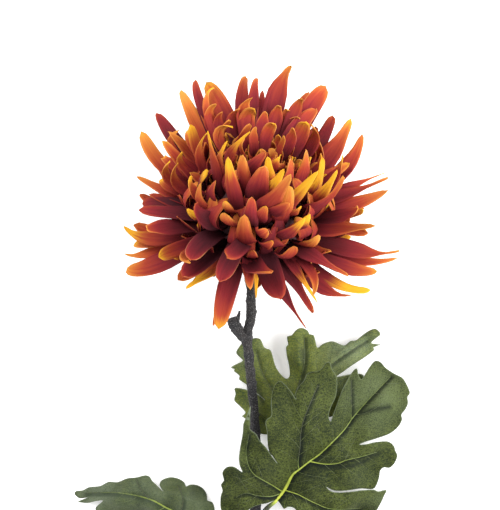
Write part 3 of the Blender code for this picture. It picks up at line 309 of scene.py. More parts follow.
# Each leaf, read from the picture in its points, counter-clockwise in the picture's own direction:
# outline    the edge of the cloth
# heights    the cloth's height above the table in millimetres at a few points
# ribs       lines of points, the main rib first
# lights     how bright each rib is at its start and at its end
# folds      folds of the cloth: a line, its rise in millimetres and its width
# creases    painted shade along creases away from the ribs: a line and its width
# pale  painted sheen above 0 and painted shade below 0: a point, how far round it, how much
# valley     how deep the cloth dips at the main rib, in millimetres
# stalk      where the stalk runs: points and heights in millimetres
# tone       linear colours of the printed cloth and of its painted sheen and shade, how much of its net shows, and its finish
LEAVES = {
    "leaf_front": {
        "outline": [
            (276, 500), (268, 503), (260.5, 504.5), (252, 507.5), (246, 512), (238, 517),
            (229, 517.5), (221.5, 511), (220.5, 498), (222.5, 490.5), (221, 484.5), (224, 480.5),
            (222.5, 473), (225, 468.5), (229, 466.5), (235, 467.3), (242.3, 472), (240, 466),
            (239, 458), (240.5, 446), (242.8, 433), (243.5, 424), (246.5, 417), (250.5, 406.5),
            (249.5, 420), (250, 429), (256, 434), (260, 441), (266, 447.5), (271, 455), (277, 463),
            (269, 450), (267.5, 441), (267, 431), (265.5, 423.5), (267, 419), (271.5, 415.5),
            (271, 403), (272, 393), (275, 385), (279.5, 381), (284, 383.5), (291, 391.5),
            (296, 399), (295.5, 393), (299, 386), (304, 380.5), (306.5, 374.5), (311, 372),
            (317, 371.5), (322, 368), (326, 362.5), (330, 362.5), (332, 369), (336.5, 377),
            (337, 386), (335.5, 397), (331, 407), (328.5, 416), (330.5, 421.5), (333, 415),
            (337, 404), (341.5, 392), (347, 381), (353, 371), (357, 368.5), (358.5, 375),
            (361.5, 379.5), (366, 373), (370, 366.5), (375, 361), (380.5, 362), (386, 368),
            (394, 373.5), (402, 377.5), (406, 383), (410, 392.5), (407.5, 397), (408, 403.5),
            (405, 410), (401.5, 414.5), (402, 420), (398, 427), (390, 433.5), (378, 438),
            (366.5, 441.5), (359.5, 444.5), (366, 444.3), (376, 442), (388, 441.5), (394, 446),
            (395, 450), (397.3, 456), (394, 464), (389, 468), (384.5, 467.3), (380.5, 470),
            (379, 478), (376, 486), (372, 489), (360, 488.5), (346, 490.5), (334, 490.5),
            (326.5, 487), (333, 492), (348, 492), (362, 490.3), (374, 489.8), (378, 491.5),
            (386.5, 490), (384, 496), (381, 502.5), (376, 511), (370, 514), (362, 521), (350, 522),
            (341, 528), (328, 524), (318, 526), (308, 518), (300, 515), (294, 508), (287.5, 507),
            (284, 509), (280, 503.5),
        ],
        "heights": [
            (276, 500, 17), (250, 505, 14), (228, 515, 5), (224, 480, 20), (243, 472, 24),
            (250, 410, 42), (262, 470, 27), (268, 420, 38), (279, 384, 34), (300, 430, 27),
            (297, 400, 31), (327, 366, 26), (334, 400, 24), (330, 440, 26), (357, 371, 19),
            (378, 363, 12), (408, 392, 8), (372, 398, 21), (400, 420, 9), (360, 444, 17),
            (396, 455, 8), (378, 482, 8), (345, 470, 21), (310, 480, 22), (345, 500, 12),
            (384, 495, 2), (362, 519, -5), (320, 518, 8), (290, 505, 15),
        ],
        "ribs": [
            [(275, 502), (282.5, 492.5), (286, 487), (292.5, 475), (300, 469), (310, 461),
             (322, 452), (343, 431), (354, 416), (370, 398), (391, 376)],
            [(282, 491.5), (272, 485), (263, 480), (255, 475), (249, 467), (246, 453), (249, 434)],
            [(299, 470), (298, 462), (300, 447), (301, 432), (305, 416), (318, 385)],
            [(351, 419), (351, 380)],
            [(310, 461.5), (324, 464), (337, 463.5), (347, 460), (360, 457), (377, 452)],
            [(284, 490), (297, 494), (305, 498), (315, 503), (332, 509), (362, 508)],
            [(279, 494), (270, 496.5), (257, 495.5), (246, 493), (236, 497)],
        ],
        "lights": [
            (1.05, 0.15), (0.6, 0.1), (0.45, -0.6), (0.2, 0.02), (0.7, 0.2), (0.75, 0.25),
            (0.4, 0.1),
        ],
        "folds": [
            ([(233, 476), (236, 450), (246, 412)], 4.0, 9.0),
            ([(362, 443), (385, 452), (393, 456)], 1.6, 8.0),
            ([(312, 434), (300, 410), (316, 376)], 1.8, 10.0),
            ([(255, 500), (240, 506), (226, 512)], 1.5, 8.0),
        ],
        "creases": [
            ([(320, 467), (345, 467), (362, 462), (379, 453)], 3.0),
            ([(354, 416), (372, 410), (389, 407)], 2.6),
        ],
        "pale": [
            (378, 395, 36, 0.95), (345, 400, 16, 0.5), (300, 455, 10, -0.5), (365, 480, 20, 0.2),
            (388, 462, 10, -0.3), (228, 455, 12, 0.6), (236, 425, 10, 0.5), (380, 500, 14, 0.6),
            (310, 473, 13, -0.6), (322, 462, 10, -0.4), (268, 470, 10, -0.4), (240, 478, 10, -0.3),
            (290, 400, 14, -0.25), (300, 440, 10, -0.3),
        ],
        "valley": 6.0,
        "stalk": [(263.0, 515, 9.0), (267.2, 508, 12.4)],
        "tone": {
            "deep": (0.012, 0.018, 0.008), "olive": (0.02, 0.027, 0.009),
            "moss": (0.08, 0.097, 0.023), "vein": (0.1, 0.125, 0.03),
            "thread": (0.04, 0.052, 0.022), "shade_and_grain_dark": (0.006, 0.009, 0.008),
            "rim": (0.2, 0.24, 0.16), "pale": (0.095, 0.12, 0.052), "net": 0.5, "roughness": 0.6,
            "gloss": 0.06, "sheen": 0.0,
        },
        "seed": 3,
    },
    "leaf_back": {
        "outline": [
            (278, 432), (268, 434.5), (258, 433), (249, 428), (246, 419), (241.9, 416.5),
            (245.5, 412.5), (239.8, 406), (234.3, 400.4), (235.5, 394), (235, 388), (246, 389.5),
            (255, 392.5), (264.5, 399.7), (256.5, 393), (248, 386), (245.5, 383.8), (239, 379.3),
            (239.8, 376), (234, 371), (234.5, 369), (230.8, 367.2), (241.7, 361.5), (243, 360.2),
            (236.3, 353.2), (238.8, 347.4), (243, 342.5), (252, 338.5), (260, 339), (264.6, 347.4),
            (270.5, 350), (273, 357), (276, 367), (281, 374.5), (286, 378.5), (289.3, 376.5),
            (289.3, 367), (286.5, 354), (286, 346.8), (288, 344.5), (287, 336.6), (291.5, 335.3),
            (296, 330), (301.6, 327.7), (307.7, 330.5), (309.5, 334), (313.5, 335), (315.3, 340),
            (317.6, 347.5), (323, 343.7), (332, 341.2), (340, 344), (345, 345.2), (350.5, 341),
            (356, 340.3), (362, 335.5), (369, 330.7), (375.7, 328.8), (380.7, 334.2),
            (375.7, 338.4), (371.5, 343), (380.7, 344.5), (373.5, 347.5), (374.6, 349.5),
            (366.6, 356), (353.6, 364.4), (342.8, 372), (337, 376.6), (350.5, 374.3), (361, 374),
            (364, 377), (362, 386), (366, 394), (358, 402), (348, 404), (340, 412), (330, 417),
            (318, 415), (308, 424), (296, 428), (288, 436),
        ],
        "heights": [
            (278, 438, 6.5), (250, 428, 5), (238, 398, -1), (235, 368, 1), (240, 350, 4),
            (256, 341, 9), (262, 374, 9), (268, 400, 9), (288, 372, 5), (292, 400, 9),
            (300, 330, 11), (302, 360, 10), (330, 343, 8), (378, 332, 6), (376, 345, 3),
            (345, 362, 8), (358, 384, -2), (325, 385, 9), (330, 408, 5), (305, 424, 5),
        ],
        "ribs": [
            [(276, 444), (284, 425), (295, 395), (304, 365), (304, 338)],
            [(281, 432), (272, 392), (262, 372), (256, 350)],
            [(292, 404), (320, 374), (345, 355), (368, 340)],
            [(278, 437), (266, 420), (254, 408), (243, 396)],
        ],
        "lights": [(0.3, 0.08), (0.3, 0.05), (0.15, 0.0), (0.25, 0.05)],
        "folds": [
            ([(318, 380), (338, 356), (372, 334)], 3.0, 7.0),
            ([(246, 352), (262, 380), (276, 410)], 1.5, 9.0), ([(297, 340), (300, 370)], 1.2, 9.0),
        ],
        "creases": [
            ([(246, 366), (256, 386), (263, 402)], 2.4),
            ([(303, 350), (304, 376), (300, 392)], 2.4),
        ],
        "pale": [
            (300, 350, 16, -0.22), (345, 350, 26, 0.6), (365, 342, 14, 0.5), (246, 358, 12, 0.4),
            (262, 345, 12, 0.2),
        ],
        "valley": 2.0,
        "stalk": [(262.8, 462, 9.5), (270, 453, 8.5)],
        "tone": {
            "deep": (0.055, 0.083, 0.028), "olive": (0.08, 0.105, 0.022),
            "moss": (0.18, 0.205, 0.03), "vein": (0.2, 0.23, 0.05), "thread": (0.12, 0.155, 0.075),
            "shade_and_grain_dark": (0.02, 0.03, 0.014), "rim": (0.38, 0.42, 0.34), "pale": (0.17, 0.21, 0.13),
            "net": 0.3, "roughness": 0.5, "gloss": 0.16, "sheen": 0.04,
        },
        "seed": 4,
    },
    "leaf_left": {
        "outline": [
            (199, 524), (206, 523.5), (211, 520), (214.5, 512), (214, 505.6), (211.8, 501.8),
            (207.5, 500.5), (206.8, 494.7), (203.2, 488.7), (196.7, 485), (190, 484.6),
            (186, 486.5), (184.7, 482.8), (179.3, 479), (170.6, 477.2), (162, 480), (159.5, 485),
            (163, 491.5), (156, 484.5), (152.2, 481), (150, 477), (145.7, 475.2), (136, 477.4),
            (127.2, 478.4), (117.5, 482.2), (108.8, 481.7), (100.1, 486), (89.3, 487.1),
            (82.8, 490.2), (76.3, 490.9), (74.6, 494), (79.5, 498.3), (88, 497.5), (78, 501.5),
            (87, 503), (95, 501.3), (103, 500.5), (97, 506), (95.8, 510), (104, 515), (108, 518),
            (113, 517.5), (118, 519), (121, 525), (126, 530), (133, 530), (140, 529), (144, 534),
            (150, 537), (157, 536), (163, 533), (169, 536.5), (176, 538), (184, 536), (189, 532),
        ],
        "heights": [
            (199, 524, 9), (214, 512, 5), (205, 492, 2), (180, 500, 13), (172, 480, 5),
            (149, 499, 15), (150, 479, 7), (120, 498, 13), (112, 483, 5), (78, 494, -2),
            (96, 510, 4), (120, 520, 4), (140, 527, -5), (165, 515, 9), (176, 536, -2),
            (192, 531, 4),
        ],
        "ribs": [
            [(203, 524), (170, 509.5), (149, 499), (120, 493), (85, 493)],
            [(180, 514), (183, 500), (178, 485)], [(165, 507), (148, 517), (136, 525)],
            [(150, 500), (140, 488), (136, 479)],
        ],
        "lights": [(0.85, 0.05), (0.1, 0.0), (0.3, 0.05), (0.1, 0.0)],
        "folds": [
            ([(80, 494), (112, 494), (150, 489), (160, 497)], 2.4, 6.0),
            ([(163, 492), (185, 498), (208, 503)], 2.4, 7.0),
            ([(98, 486), (128, 484), (150, 482)], 1.4, 6.0),
        ],
        "creases": [],
        "pale": [
            (150, 488, 24, 0.5), (96, 492, 20, 1.3), (195, 500, 18, 0.5),
        ],
        "valley": 3.0,
        "stalk": [(246.2, 541, 5.2), (226, 533, 6.6)],
        "tone": {
            "deep": (0.023, 0.036, 0.015), "olive": (0.033, 0.046, 0.015),
            "moss": (0.072, 0.09, 0.026), "vein": (0.09, 0.115, 0.034),
            "thread": (0.09, 0.115, 0.07), "shade_and_grain_dark": (0.022, 0.034, 0.016),
            "rim": (0.2, 0.24, 0.16), "pale": (0.105, 0.13, 0.078), "net": 0.3, "roughness": 0.45,
            "gloss": 0.16, "sheen": 0.04,
        },
        "seed": 5,
    },
}
# The stem's middle line: picture x, picture y, height in millimetres, and how thick it is for its
# place, where 1 is the usual thickness
STEM_LINE = [
    (250.5, 290, 33, 0.95), (251, 303, 31, 1.0), (251, 316, 29, 1.12), (248.5, 328, 27, 1.02),
    (247, 339, 25.3, 1.22), (248, 350, 23.6, 1.05), (250, 368, 21, 1.0), (251.5, 385, 19, 1.06),
    (253.5, 403, 17, 1.0), (255, 425, 14.5, 1.0), (256, 447, 12.3, 1.1), (256, 470, 10.2, 1.0),
    (256, 495, 8.1, 1.0), (255, 518, 6.6, 1.2), (253, 542, 5.2, 1.05), (251, 566, 3.9, 1.0),
    (250, 588, 2.6, 1.0),
]
SHOOT_LINE = [
    (247, 340, 25.3, 1.0), (241, 334, 27, 1.15), (236, 328, 28.5, 1.3), (232, 319, 30, 1.15),
]
TWIG_LINE = [
    (236, 327, 28.5, 0.6), (238, 319, 31, 0.43), (239.5, 311, 33, 0.3),
]

VIEWER_X = BLOOM_CENTRE.x + (PICTURE_MIDDLE[0] - BLOOM_POINT[0]) * POINT_SIZE
VIEWER_Y = BLOOM_CENTRE.y - (PICTURE_MIDDLE[1] - BLOOM_POINT[1]) * POINT_SIZE
VIEWER_HEIGHT = BLOOM_CENTRE.z + VIEW_DISTANCE


def place(picture_x, picture_y, height):
    """The place at this height that the viewer sees at a point of the picture."""
    scale = POINT_SIZE * (VIEWER_HEIGHT - height) / VIEW_DISTANCE
    return Vector((VIEWER_X + (picture_x - PICTURE_MIDDLE[0]) * scale,
                   VIEWER_Y - (picture_y - PICTURE_MIDDLE[1]) * scale, height))


def clamped(value):
    """A value held between 0 and 1."""
    return min(1.0, max(0.0, value))


def eased(share):
    """0 to 1 with a soft start and a soft end."""
    return share * share * (3.0 - 2.0 * share)


def sides_of(axis):
    """Two directions across an axis: to the right, and towards the top of the picture."""
    right = (Vector((1.0, 0.0, 0.0)) - axis * axis.x).normalized()
    return right, axis.cross(right)


def direction_about(axis, angle, turn):
    """A direction at an angle from an axis, turned about it."""
    right, upper = sides_of(axis)
    across = right * math.cos(turn) + upper * math.sin(turn)
    return axis * math.cos(angle) + across * math.sin(angle)


def from_bloom(angle, turn, reach, share=1.0):
    """A place out from the bloom's centre, at a share of a reach."""
    return BLOOM_CENTRE + direction_about(BLOOM_AXIS, angle, turn) * reach * share


def drawn_to(centre, point, share):
    """A point moved to a share of its distance from a centre."""
    return centre + (point - centre) * share


def ray_reach(angle, turn):
    """How far the outer petals reach: less for those that stand forward or hang below the head."""
    forward = max(0.0, SIDEWAYS - angle)
    hanging = max(0.0, -direction_about(BLOOM_AXIS, angle, turn).y)
    return (RAY_LENGTH - forward * FORWARD_LOSS) * (1.0 - HANGING_LOSS * hanging ** 2)


def curve_through(root, middle, tip, share):
    """A point on the smooth curve that passes the middle point half way."""
    pull = middle * 2.0 - (root + tip) * 0.5
    return root * (1.0 - share) ** 2 + pull * (2.0 * share * (1.0 - share)) + tip * share ** 2


def receptacle_root(middle):
    """An outer petal's root, in the receptacle under its middle point."""
    offset = middle - BLOOM_CENTRE
    right, upper = sides_of(BLOOM_AXIS)
    turn = math.atan2(offset.dot(upper), offset.dot(right))
    angle = min(offset.angle(BLOOM_AXIS), LAST_ROOT_ANGLE)
    return from_bloom(angle, turn, CORE_RADIUS, OUTER_ROOT)


def mound_root(middle):
    """A curled petal's root, in the mound's core under its middle point."""
    upward = (middle - MOUND_CENTRE).normalized()
    return MOUND_CENTRE + upward * MOUND_CORE_RADIUS * MOUND_ROOT


def on_ball(picture_x, picture_y, centre, radius):
    """The place on the near side of a ball that the picture shows."""
    height = centre.z + radius
    for _ in range(ROUNDS):
        offset = place(picture_x, picture_y, height) - centre
        height = centre.z + math.sqrt(max(radius ** 2 - offset.x ** 2 - offset.y ** 2, 0.0))
    return place(picture_x, picture_y, height)


def ray_tip(picture_x, picture_y, lift):
    """An outer tip: those below the bloom's centre droop towards the viewer."""
    height = BLOOM_CENTRE.z
    for _ in range(ROUNDS):
        offset = place(picture_x, picture_y, height) - BLOOM_CENTRE
        flat = math.hypot(offset.x, offset.y)
        rise = TIP_DROOP * offset.y
        if offset.y < 10.0 * MM:
            rise = max(rise, math.sqrt(max(NEAR_TIP_REACH ** 2 - flat ** 2, 0.0)))
        height = BLOOM_CENTRE.z + rise + lift * MM
    return place(picture_x, picture_y, height)


class Petal:
    """One petal's curve and width, with plain values for what is set on it later."""

    on_mound = False
    twist = hook = sway = facing = gold = shade = 0.0
    blunt = warmth = 0.5
    channel = 0.8

    def __init__(self, root, middle, tip, width):
        self.root, self.middle, self.tip, self.width = root, middle, tip, width


def placed_petal(row, kind):
    """A petal that the picture shows: on the rim, on the mound's face, or standing behind it."""
    tip_x, tip_y, middle_x, middle_y, width, lift, warmth, gold, hook, blunt = row
    if kind == "rim":
        tip = ray_tip(tip_x, tip_y, lift)
        middle_height = BLOOM_CENTRE.z + (tip.z - BLOOM_CENTRE.z) * 0.55 + 5.0 * MM
        middle = place(middle_x, middle_y, middle_height)
        root = receptacle_root(middle)
    else:
        ball = (MOUND_CENTRE, MOUND_REACH) if kind == "face" else (BLOOM_CENTRE, STANDING_REACH)
        middle = on_ball(middle_x, middle_y, *ball)
        seen_length = (place(tip_x, tip_y, middle.z) - middle).length
        tip = place(tip_x, tip_y, middle.z + TIP_SLOPE[kind] * seen_length + lift * MM)
        root = mound_root(middle - (tip - middle) * 0.9 if kind == "face" else middle)
    petal = Petal(root, middle, tip, width * POINT_SIZE * WIDENING[kind])
    petal.warmth, petal.gold, petal.hook, petal.blunt = warmth, gold, hook, blunt
    petal.facing = FACING[kind]
    if kind == "face":
        petal.sway = -0.9 * min(1.0, max(-1.0, (middle_x - BLOOM_POINT[0]) / 35.0))
    return petal


def golden_tips(count, first_angle, last_angle):
    """Directions spread evenly between two angles from the axis, given in degrees."""
    first = math.cos(math.radians(first_angle))
    last = math.cos(math.radians(last_angle))
    return [(math.acos(first + (last - first) * ((i + 0.5) / count)), i * GOLDEN_ANGLE)
            for i in range(count)]


def drop_taken(axis, centre, tips, standing):
    """Leaves out the direction next to each petal that already stands."""
    for petal in standing:
        offset = (petal.tip - centre).normalized()
        tips.remove(max(tips, key=lambda tip: direction_about(axis, *tip).dot(offset)))


def hides(petal, seen):
    """Whether a petal's tip would stand in front of a petal that the picture shows."""
    for other in seen:
        line = other.tip - other.middle
        share = clamped((petal.tip - other.middle).dot(line) / line.length_squared)
        gap = petal.tip - other.middle - line * share
        beside = (other.width + petal.width) * CLEAR_SHARE
        if math.hypot(gap.x, gap.y) < beside and gap.z > CLEAR_HEIGHT:
            return True
    return False


def drawn_back(petals, seen, centre):
    """Draws petals back towards a centre until they no longer hide one that the picture shows."""
    for petal in petals:
        for _ in range(DRAW_BACK_STEPS):
            if hides(petal, seen):
                petal.middle = drawn_to(centre, petal.middle, DRAW_BACK)
                petal.tip = drawn_to(centre, petal.tip, DRAW_BACK)


def curled_petal(draw, angle, turn):
    """A petal of the mound: out from its core and then up, leaning in a little over the hollow."""
    straight = direction_about(MOUND_AXIS, angle, turn)
    angle = min(angle, straight.angle(HOLLOW_AXIS))
    # 0 in the hollow on top of the mound and 1 on its rim and outside
    rim = eased(clamped((angle - HOLLOW_ANGLES[0]) / (HOLLOW_ANGLES[1] - HOLLOW_ANGLES[0])))
    far = clamped((math.sin(turn) + 0.3) / 1.2)
    reach = (HOLLOW_REACH + (MOUND_REACH - HOLLOW_REACH) * rim) * draw.uniform(*CURLED["reach"])
    length = FLORET_LENGTH + (CURLED_LENGTH - FLORET_LENGTH) * rim
    length = length * draw.uniform(*CURLED["length"])
    lean = math.radians(draw.uniform(*CURLED["lean"])) * (1.0 - 1.3 * far)
    slant = math.radians(draw.uniform(*CURLED["slant"]))
    outward = direction_about(MOUND_AXIS, math.pi / 2.0, turn)
    heading = MOUND_AXIS * math.cos(lean) - outward * math.sin(lean)
    heading = heading + MOUND_AXIS.cross(outward) * math.sin(slant)
    middle = MOUND_CENTRE + straight * reach
    tip = middle + heading.normalized() * length
    width = MOUND_PETAL_WIDTH * (0.45 + 0.55 * rim) * draw.uniform(*CURLED["width"])
    return Petal(mound_root(middle), middle, tip, width)


def long_petal(draw, angle, turn, usual_reach, least_bow, habit):
    """A petal from the receptacle that bows outwards and then turns to its own direction."""
    reach = usual_reach * draw.uniform(*habit["reach"])
    side_turn = turn + draw.uniform(*habit["side"])
    bowed = max(angle, least_bow) + math.radians(draw.uniform(*habit["bow"]))
    middle = from_bloom(bowed, side_turn, reach, habit["middle"])
    width = RAY_PETAL_WIDTH * draw.uniform(*habit["width"])
    return Petal(receptacle_root(middle), middle, from_bloom(angle, turn, reach), width)


def spread_petal(draw, angle, turn):
    """An outer petal: out sideways from the receptacle, and then forward or back."""
    angle = angle - math.radians(16.0) * max(0.0, -math.sin(turn))
    return long_petal(draw, angle, turn, ray_reach(angle, turn), SIDEWAYS, SPREAD)


def upright_petal(draw, angle, turn):
    """A petal that stands up behind the mound, between it and the outer ones."""
    usual_reach = UPRIGHT_LENGTH + (angle - math.radians(45.0)) * 14.0 * MM
    return long_petal(draw, angle, turn, usual_reach, 0.0, UPRIGHT)


def floret(draw, angle, turn):
    """A small crumpled petal in the hollow."""
    upward = direction_about(HOLLOW_AXIS, angle, turn)
    middle = MOUND_CENTRE + upward * HOLLOW_REACH * draw.uniform(*FLORET["reach"])
    scatter = Vector([draw.uniform(-1.0, 1.0) for _ in range(3)])
    heading = (upward + scatter * 0.6).normalized()
    tip = middle + heading * FLORET_LENGTH * draw.uniform(*FLORET["length"])
    width = MOUND_PETAL_WIDTH * draw.uniform(*FLORET["width"])
    return Petal(mound_root(middle), middle, tip, width)


def dye(draw, petal, warm_low, warm_high, gold_share):
    """Gives a petal its own warmth, gold tip, hook and cut."""
    petal.warmth = draw.uniform(warm_low, warm_high)
    golden = draw.random() < gold_share
    petal.gold = draw.uniform(0.2, 0.7) if golden else draw.uniform(0.0, 0.1)
    petal.hook = draw.uniform(-0.2, 0.8)
    petal.blunt = draw.uniform(0.4, 1.0)
    petal.sway = draw.uniform(-0.9, 0.9)


def all_petals():
    """Outer petals, mound petals and florets, first those of the model and then finer fill."""
    outer = [placed_petal(row, "rim") for row in RIM_PETALS]
    mound = [placed_petal(row, "face") for row in FACE_PETALS]
    mound += [placed_petal(row, "standing") for row in STANDING_PETALS]
    mound_tips = golden_tips(*MOUND_SPREAD)
    ray_tips = golden_tips(*RAY_SPREAD)
    drop_taken(BLOOM_AXIS, BLOOM_CENTRE, ray_tips, outer)
    drop_taken(MOUND_AXIS, MOUND_CENTRE, mound_tips, mound)
    draw = random.Random(SEED)
    curled = [curled_petal(draw, *tip) for tip in mound_tips]
    florets = [floret(draw, *tip) for tip in golden_tips(*FLORET_SPREAD)]
    spread = [spread_petal(draw, *tip) for tip in ray_tips]
    upright = [upright_petal(draw, angle, turn) for angle, turn in golden_tips(*UPRIGHT_SPREAD)
               if math.sin(turn) > 0.2]
    draw = random.Random(SEED + 1)
    for petal in outer + mound + curled + florets + spread + upright:
        petal.twist = draw.uniform(-PETAL_TWIST, PETAL_TWIST)

    draw = random.Random(SEED + 2)
    for angle, turn in golden_tips(*MOUND_FILL):
        petal = curled_petal(draw, angle, turn + FILL_TURN)
        petal.middle = drawn_to(MOUND_CENTRE, petal.middle, 0.93)
        petal.tip = drawn_to(petal.middle, petal.tip, 0.75)
        curled.append(petal)
    for angle, turn in golden_tips(*RAY_FILL):
        petal = spread_petal(draw, angle, turn + FILL_TURN)
        petal.tip = drawn_to(BLOOM_CENTRE, petal.tip, 0.86)
        spread.append(petal)
    for angle, turn in golden_tips(*UPRIGHT_FILL):
        if math.sin(turn + FILL_TURN) > 0.2:
            petal = upright_petal(draw, angle, turn + FILL_TURN)
            petal.tip = drawn_to(BLOOM_CENTRE, petal.tip, 0.92)
            upright.append(petal)
    for angle, turn in golden_tips(*FLORET_FILL):
        florets.append(floret(draw, angle, turn + FLORET_FILL_TURN))
    outer += [placed_petal(row, "rim") for row in MORE_RIM_PETALS]
    mound += [placed_petal(row, "face") for row in MORE_FACE_PETALS]
    drawn_back(curled, mound, MOUND_CENTRE)
    drawn_back(spread + upright, outer + mound, BLOOM_CENTRE)

    for petal in curled:
        offset = petal.tip - MOUND_CENTRE
        upper = clamped((offset.y + 0.5 * offset.x) / (50.0 * MM) + 0.5)
        # near: how far a tip lies on the front-lower side of the mound; those petals are drawn back
        # and darkened as painted shade
        near = clamped(-0.2 - offset.y / (20.0 * MM))
        petal.middle = drawn_to(MOUND_CENTRE, petal.middle, 1.0 - 0.07 * near)
        petal.tip = drawn_to(MOUND_CENTRE, petal.tip, 1.0 - 0.1 * near)
        dye(draw, petal, -0.05 + 0.35 * upper, 0.42 + 0.26 * upper, 0.1 + 0.15 * upper)
        # Painted shade: the front-lower petals are darkened as if they lay in shadow
        petal.shade = -3.0 * near
    for petal in florets:
        dye(draw, petal, 0.6, 0.9, 0.3)
    for petal in spread:
        offset = petal.tip - BLOOM_CENTRE
        # Warmer, and so lighter, towards the top and the sides; the extra warmth to the right is
        # painted light from that side
        upper = offset.y + 0.6 * abs(offset.x) + 0.3 * offset.x
        upper = clamped(upper / (90.0 * MM) + 0.4)
        dye(draw, petal, -0.15 + 0.3 * upper, 0.40 + 0.18 * upper, 0.12)
    for petal in upright:
        dye(draw, petal, 0.35, 0.85, 0.35)
    for petal in mound + curled + florets:
        petal.on_mound = True
    for petal in outer + mound + curled + florets + spread + upright:
        petal.shade += draw.uniform(-1.0, 1.0)
        petal.channel = draw.uniform(0.4, 0.8) if petal.on_mound else draw.uniform(0.5, 1.0)
    return outer + spread + upright, mound + curled, florets


def petal_outline(share, blunt):
    """Half width along a petal for a full width of 1: slim root, widest past the middle."""
    if share < WIDEST_AT:
        return 0.5 * (0.42 + 0.58 * math.sin(share / WIDEST_AT * math.pi / 2.0))
    onward = (share - WIDEST_AT) / WIDEST_TO_TIP
    rounded_end = (1.0 - onward ** 4.0) ** 0.5
    whisker = 0.2 * (1.0 - onward) ** 0.6 + 0.8 * (1.0 - eased(min(1.0, onward / 0.7)))
    return 0.5 * (rounded_end * blunt + whisker * (1.0 - blunt))


def added(name, data):
    """A new object in the scene, at the origin."""
    thing = bpy.data.objects.new(name, data)
    bpy.context.scene.collection.objects.link(thing)
    return thing


def show_only(thing):
    """Selects one object and makes it the one that operators act on."""
    bpy.ops.object.select_all(action="DESELECT")
    thing.select_set(True)
    bpy.context.view_layer.objects.active = thing


def joined(name, things):
    """Several objects made one."""
    bpy.ops.object.select_all(action="DESELECT")
    for thing in things:
        thing.select_set(True)
    bpy.context.view_layer.objects.active = things[0]
    if len(things) > 1:
        bpy.ops.object.join()
    whole = bpy.context.object
    whole.name = name
    return whole


def stored(mesh, **measures):
    """Stores measures on a mesh's points: one number for all of them, or a list of numbers."""
    for name, values in measures.items():
        if not isinstance(values, list):
            values = [values] * len(mesh.vertices)
        mesh.attributes.new(name, "FLOAT", "POINT").data.foreach_set("value", values)


def thickened(sheet):
    """Gives the selected sheet the thickness of cloth."""
    solidify = sheet.modifiers.new("cloth", "SOLIDIFY")
    solidify.thickness = CLOTH_THICKNESS
    solidify.offset = 0.0
    bpy.ops.object.modifier_apply(modifier=solidify.name)
    bpy.ops.object.shade_smooth()
    return sheet


def finished(thing, solid, material):
    """Gives a piece its material, hangs it under the root body, and hides the part of the model
    that it stands for.
    """
    thing.data.materials.clear()
    thing.data.materials.append(material)
    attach(thing, "root")
    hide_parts(solid)


def flat_strip(columns, rows):
    """A flat strip of cloth, one unit long and wide, that petals or bracts are bent from."""
    bpy.ops.object.select_all(action="DESELECT")
    bpy.ops.mesh.primitive_grid_add(x_subdivisions=columns, y_subdivisions=rows, size=1.0)
    return bpy.context.object


def petal_blank():
    """The strip for petals, with its root at the origin."""
    blank = flat_strip(COLUMNS_ACROSS, ROWS_ALONG)
    bpy.ops.object.mode_set(mode="EDIT")
    bpy.ops.mesh.select_all(action="SELECT")
    bpy.ops.transform.translate(value=(0.0, 0.5, 0.0))
    bpy.ops.object.mode_set(mode="OBJECT")
    return blank


def bend_petal(blank, petal, number):
    """A copy of the blank, cut to the petal's outline, channelled, and bent along its curve."""
    mesh = blank.data.copy()
    thing = added("petal_%03d" % number, mesh)
    on_mound = petal.on_mound
    axis, centre = (MOUND_AXIS, MOUND_CENTRE) if on_mound else (BLOOM_AXIS, BLOOM_CENTRE)
    chord = petal.tip - petal.middle
    sideways = Vector((chord.y, -chord.x, 0.0)).normalized()
    if sideways.dot(axis.cross(petal.middle - centre)) < 0.0:
        sideways.negate()
    rows = {}
    for vertex in mesh.vertices:
        rows.setdefault(round(vertex.co.y, 4), []).append(vertex)
    for length_share, row in sorted(rows.items()):
        share = 1.0 - (1.0 - clamped(length_share)) ** CROWDED_TIP
        point = curve_through(petal.root, petal.middle, petal.tip, share)
        ahead = curve_through(petal.root, petal.middle, petal.tip, share + 0.02)
        along = (ahead - point).normalized()
        across = axis.cross(point - centre)
        across = across.normalized() * (1.0 - petal.facing) + sideways * petal.facing
        across = (across - along * across.dot(along)).normalized()
        across = Matrix.Rotation(petal.twist * share, 3, along) @ across
        inner = along.cross(across).normalized()
        hooked = max(0.0, (share - HOOK_FROM) / HOOK_LENGTH)
        point = point + inner * petal.hook * petal.width * (hooked ** 2 - share ** 2)
        point = point + across * petal.sway * petal.width * math.sin(math.pi * share) * 0.5
        bowl = petal.channel * (1.15 - 0.45 * share)
        half = max(petal.width * petal_outline(share, petal.blunt), NARROWEST)
        half = half * bowl / math.sin(bowl)
        spots = []
        for vertex in row:
            side = vertex.co.x * 2.0
            spread = side * bowl
            wave = math.sin(number * 1.7 + share * 10.0 + 2.0 * side)
            ruffle = 0.08 * petal.width * side * side * wave
            spot = point + across * math.sin(spread) / bowl * half
            spots.append(spot + inner * ((1.0 - math.cos(spread)) / bowl * half + ruffle))
        sunk = max(0.0, CLOTH_THICKNESS - min(spot.z for spot in spots))
        for vertex, spot in zip(row, spots):
            vertex.co = spot + Vector((0.0, 0.0, sunk))
    stored(mesh, warmth=petal.warmth, gold=petal.gold, shade=petal.shade)
    return thing


def bloom(material):
    """Three layers of petals, each one mesh, with the thickness of cloth."""
    outer, mound, florets = all_petals()
    blank = petal_blank()
    number = 0
    for name, petals in (("outer_petals", outer), ("mound_petals", mound), ("florets", florets)):
        things = [bend_petal(blank, petal, number + i) for i, petal in enumerate(petals)]
        finished(thickened(joined(name, things)), "bloom", material)
        number += len(petals)
    bpy.data.objects.remove(blank, do_unlink=True)


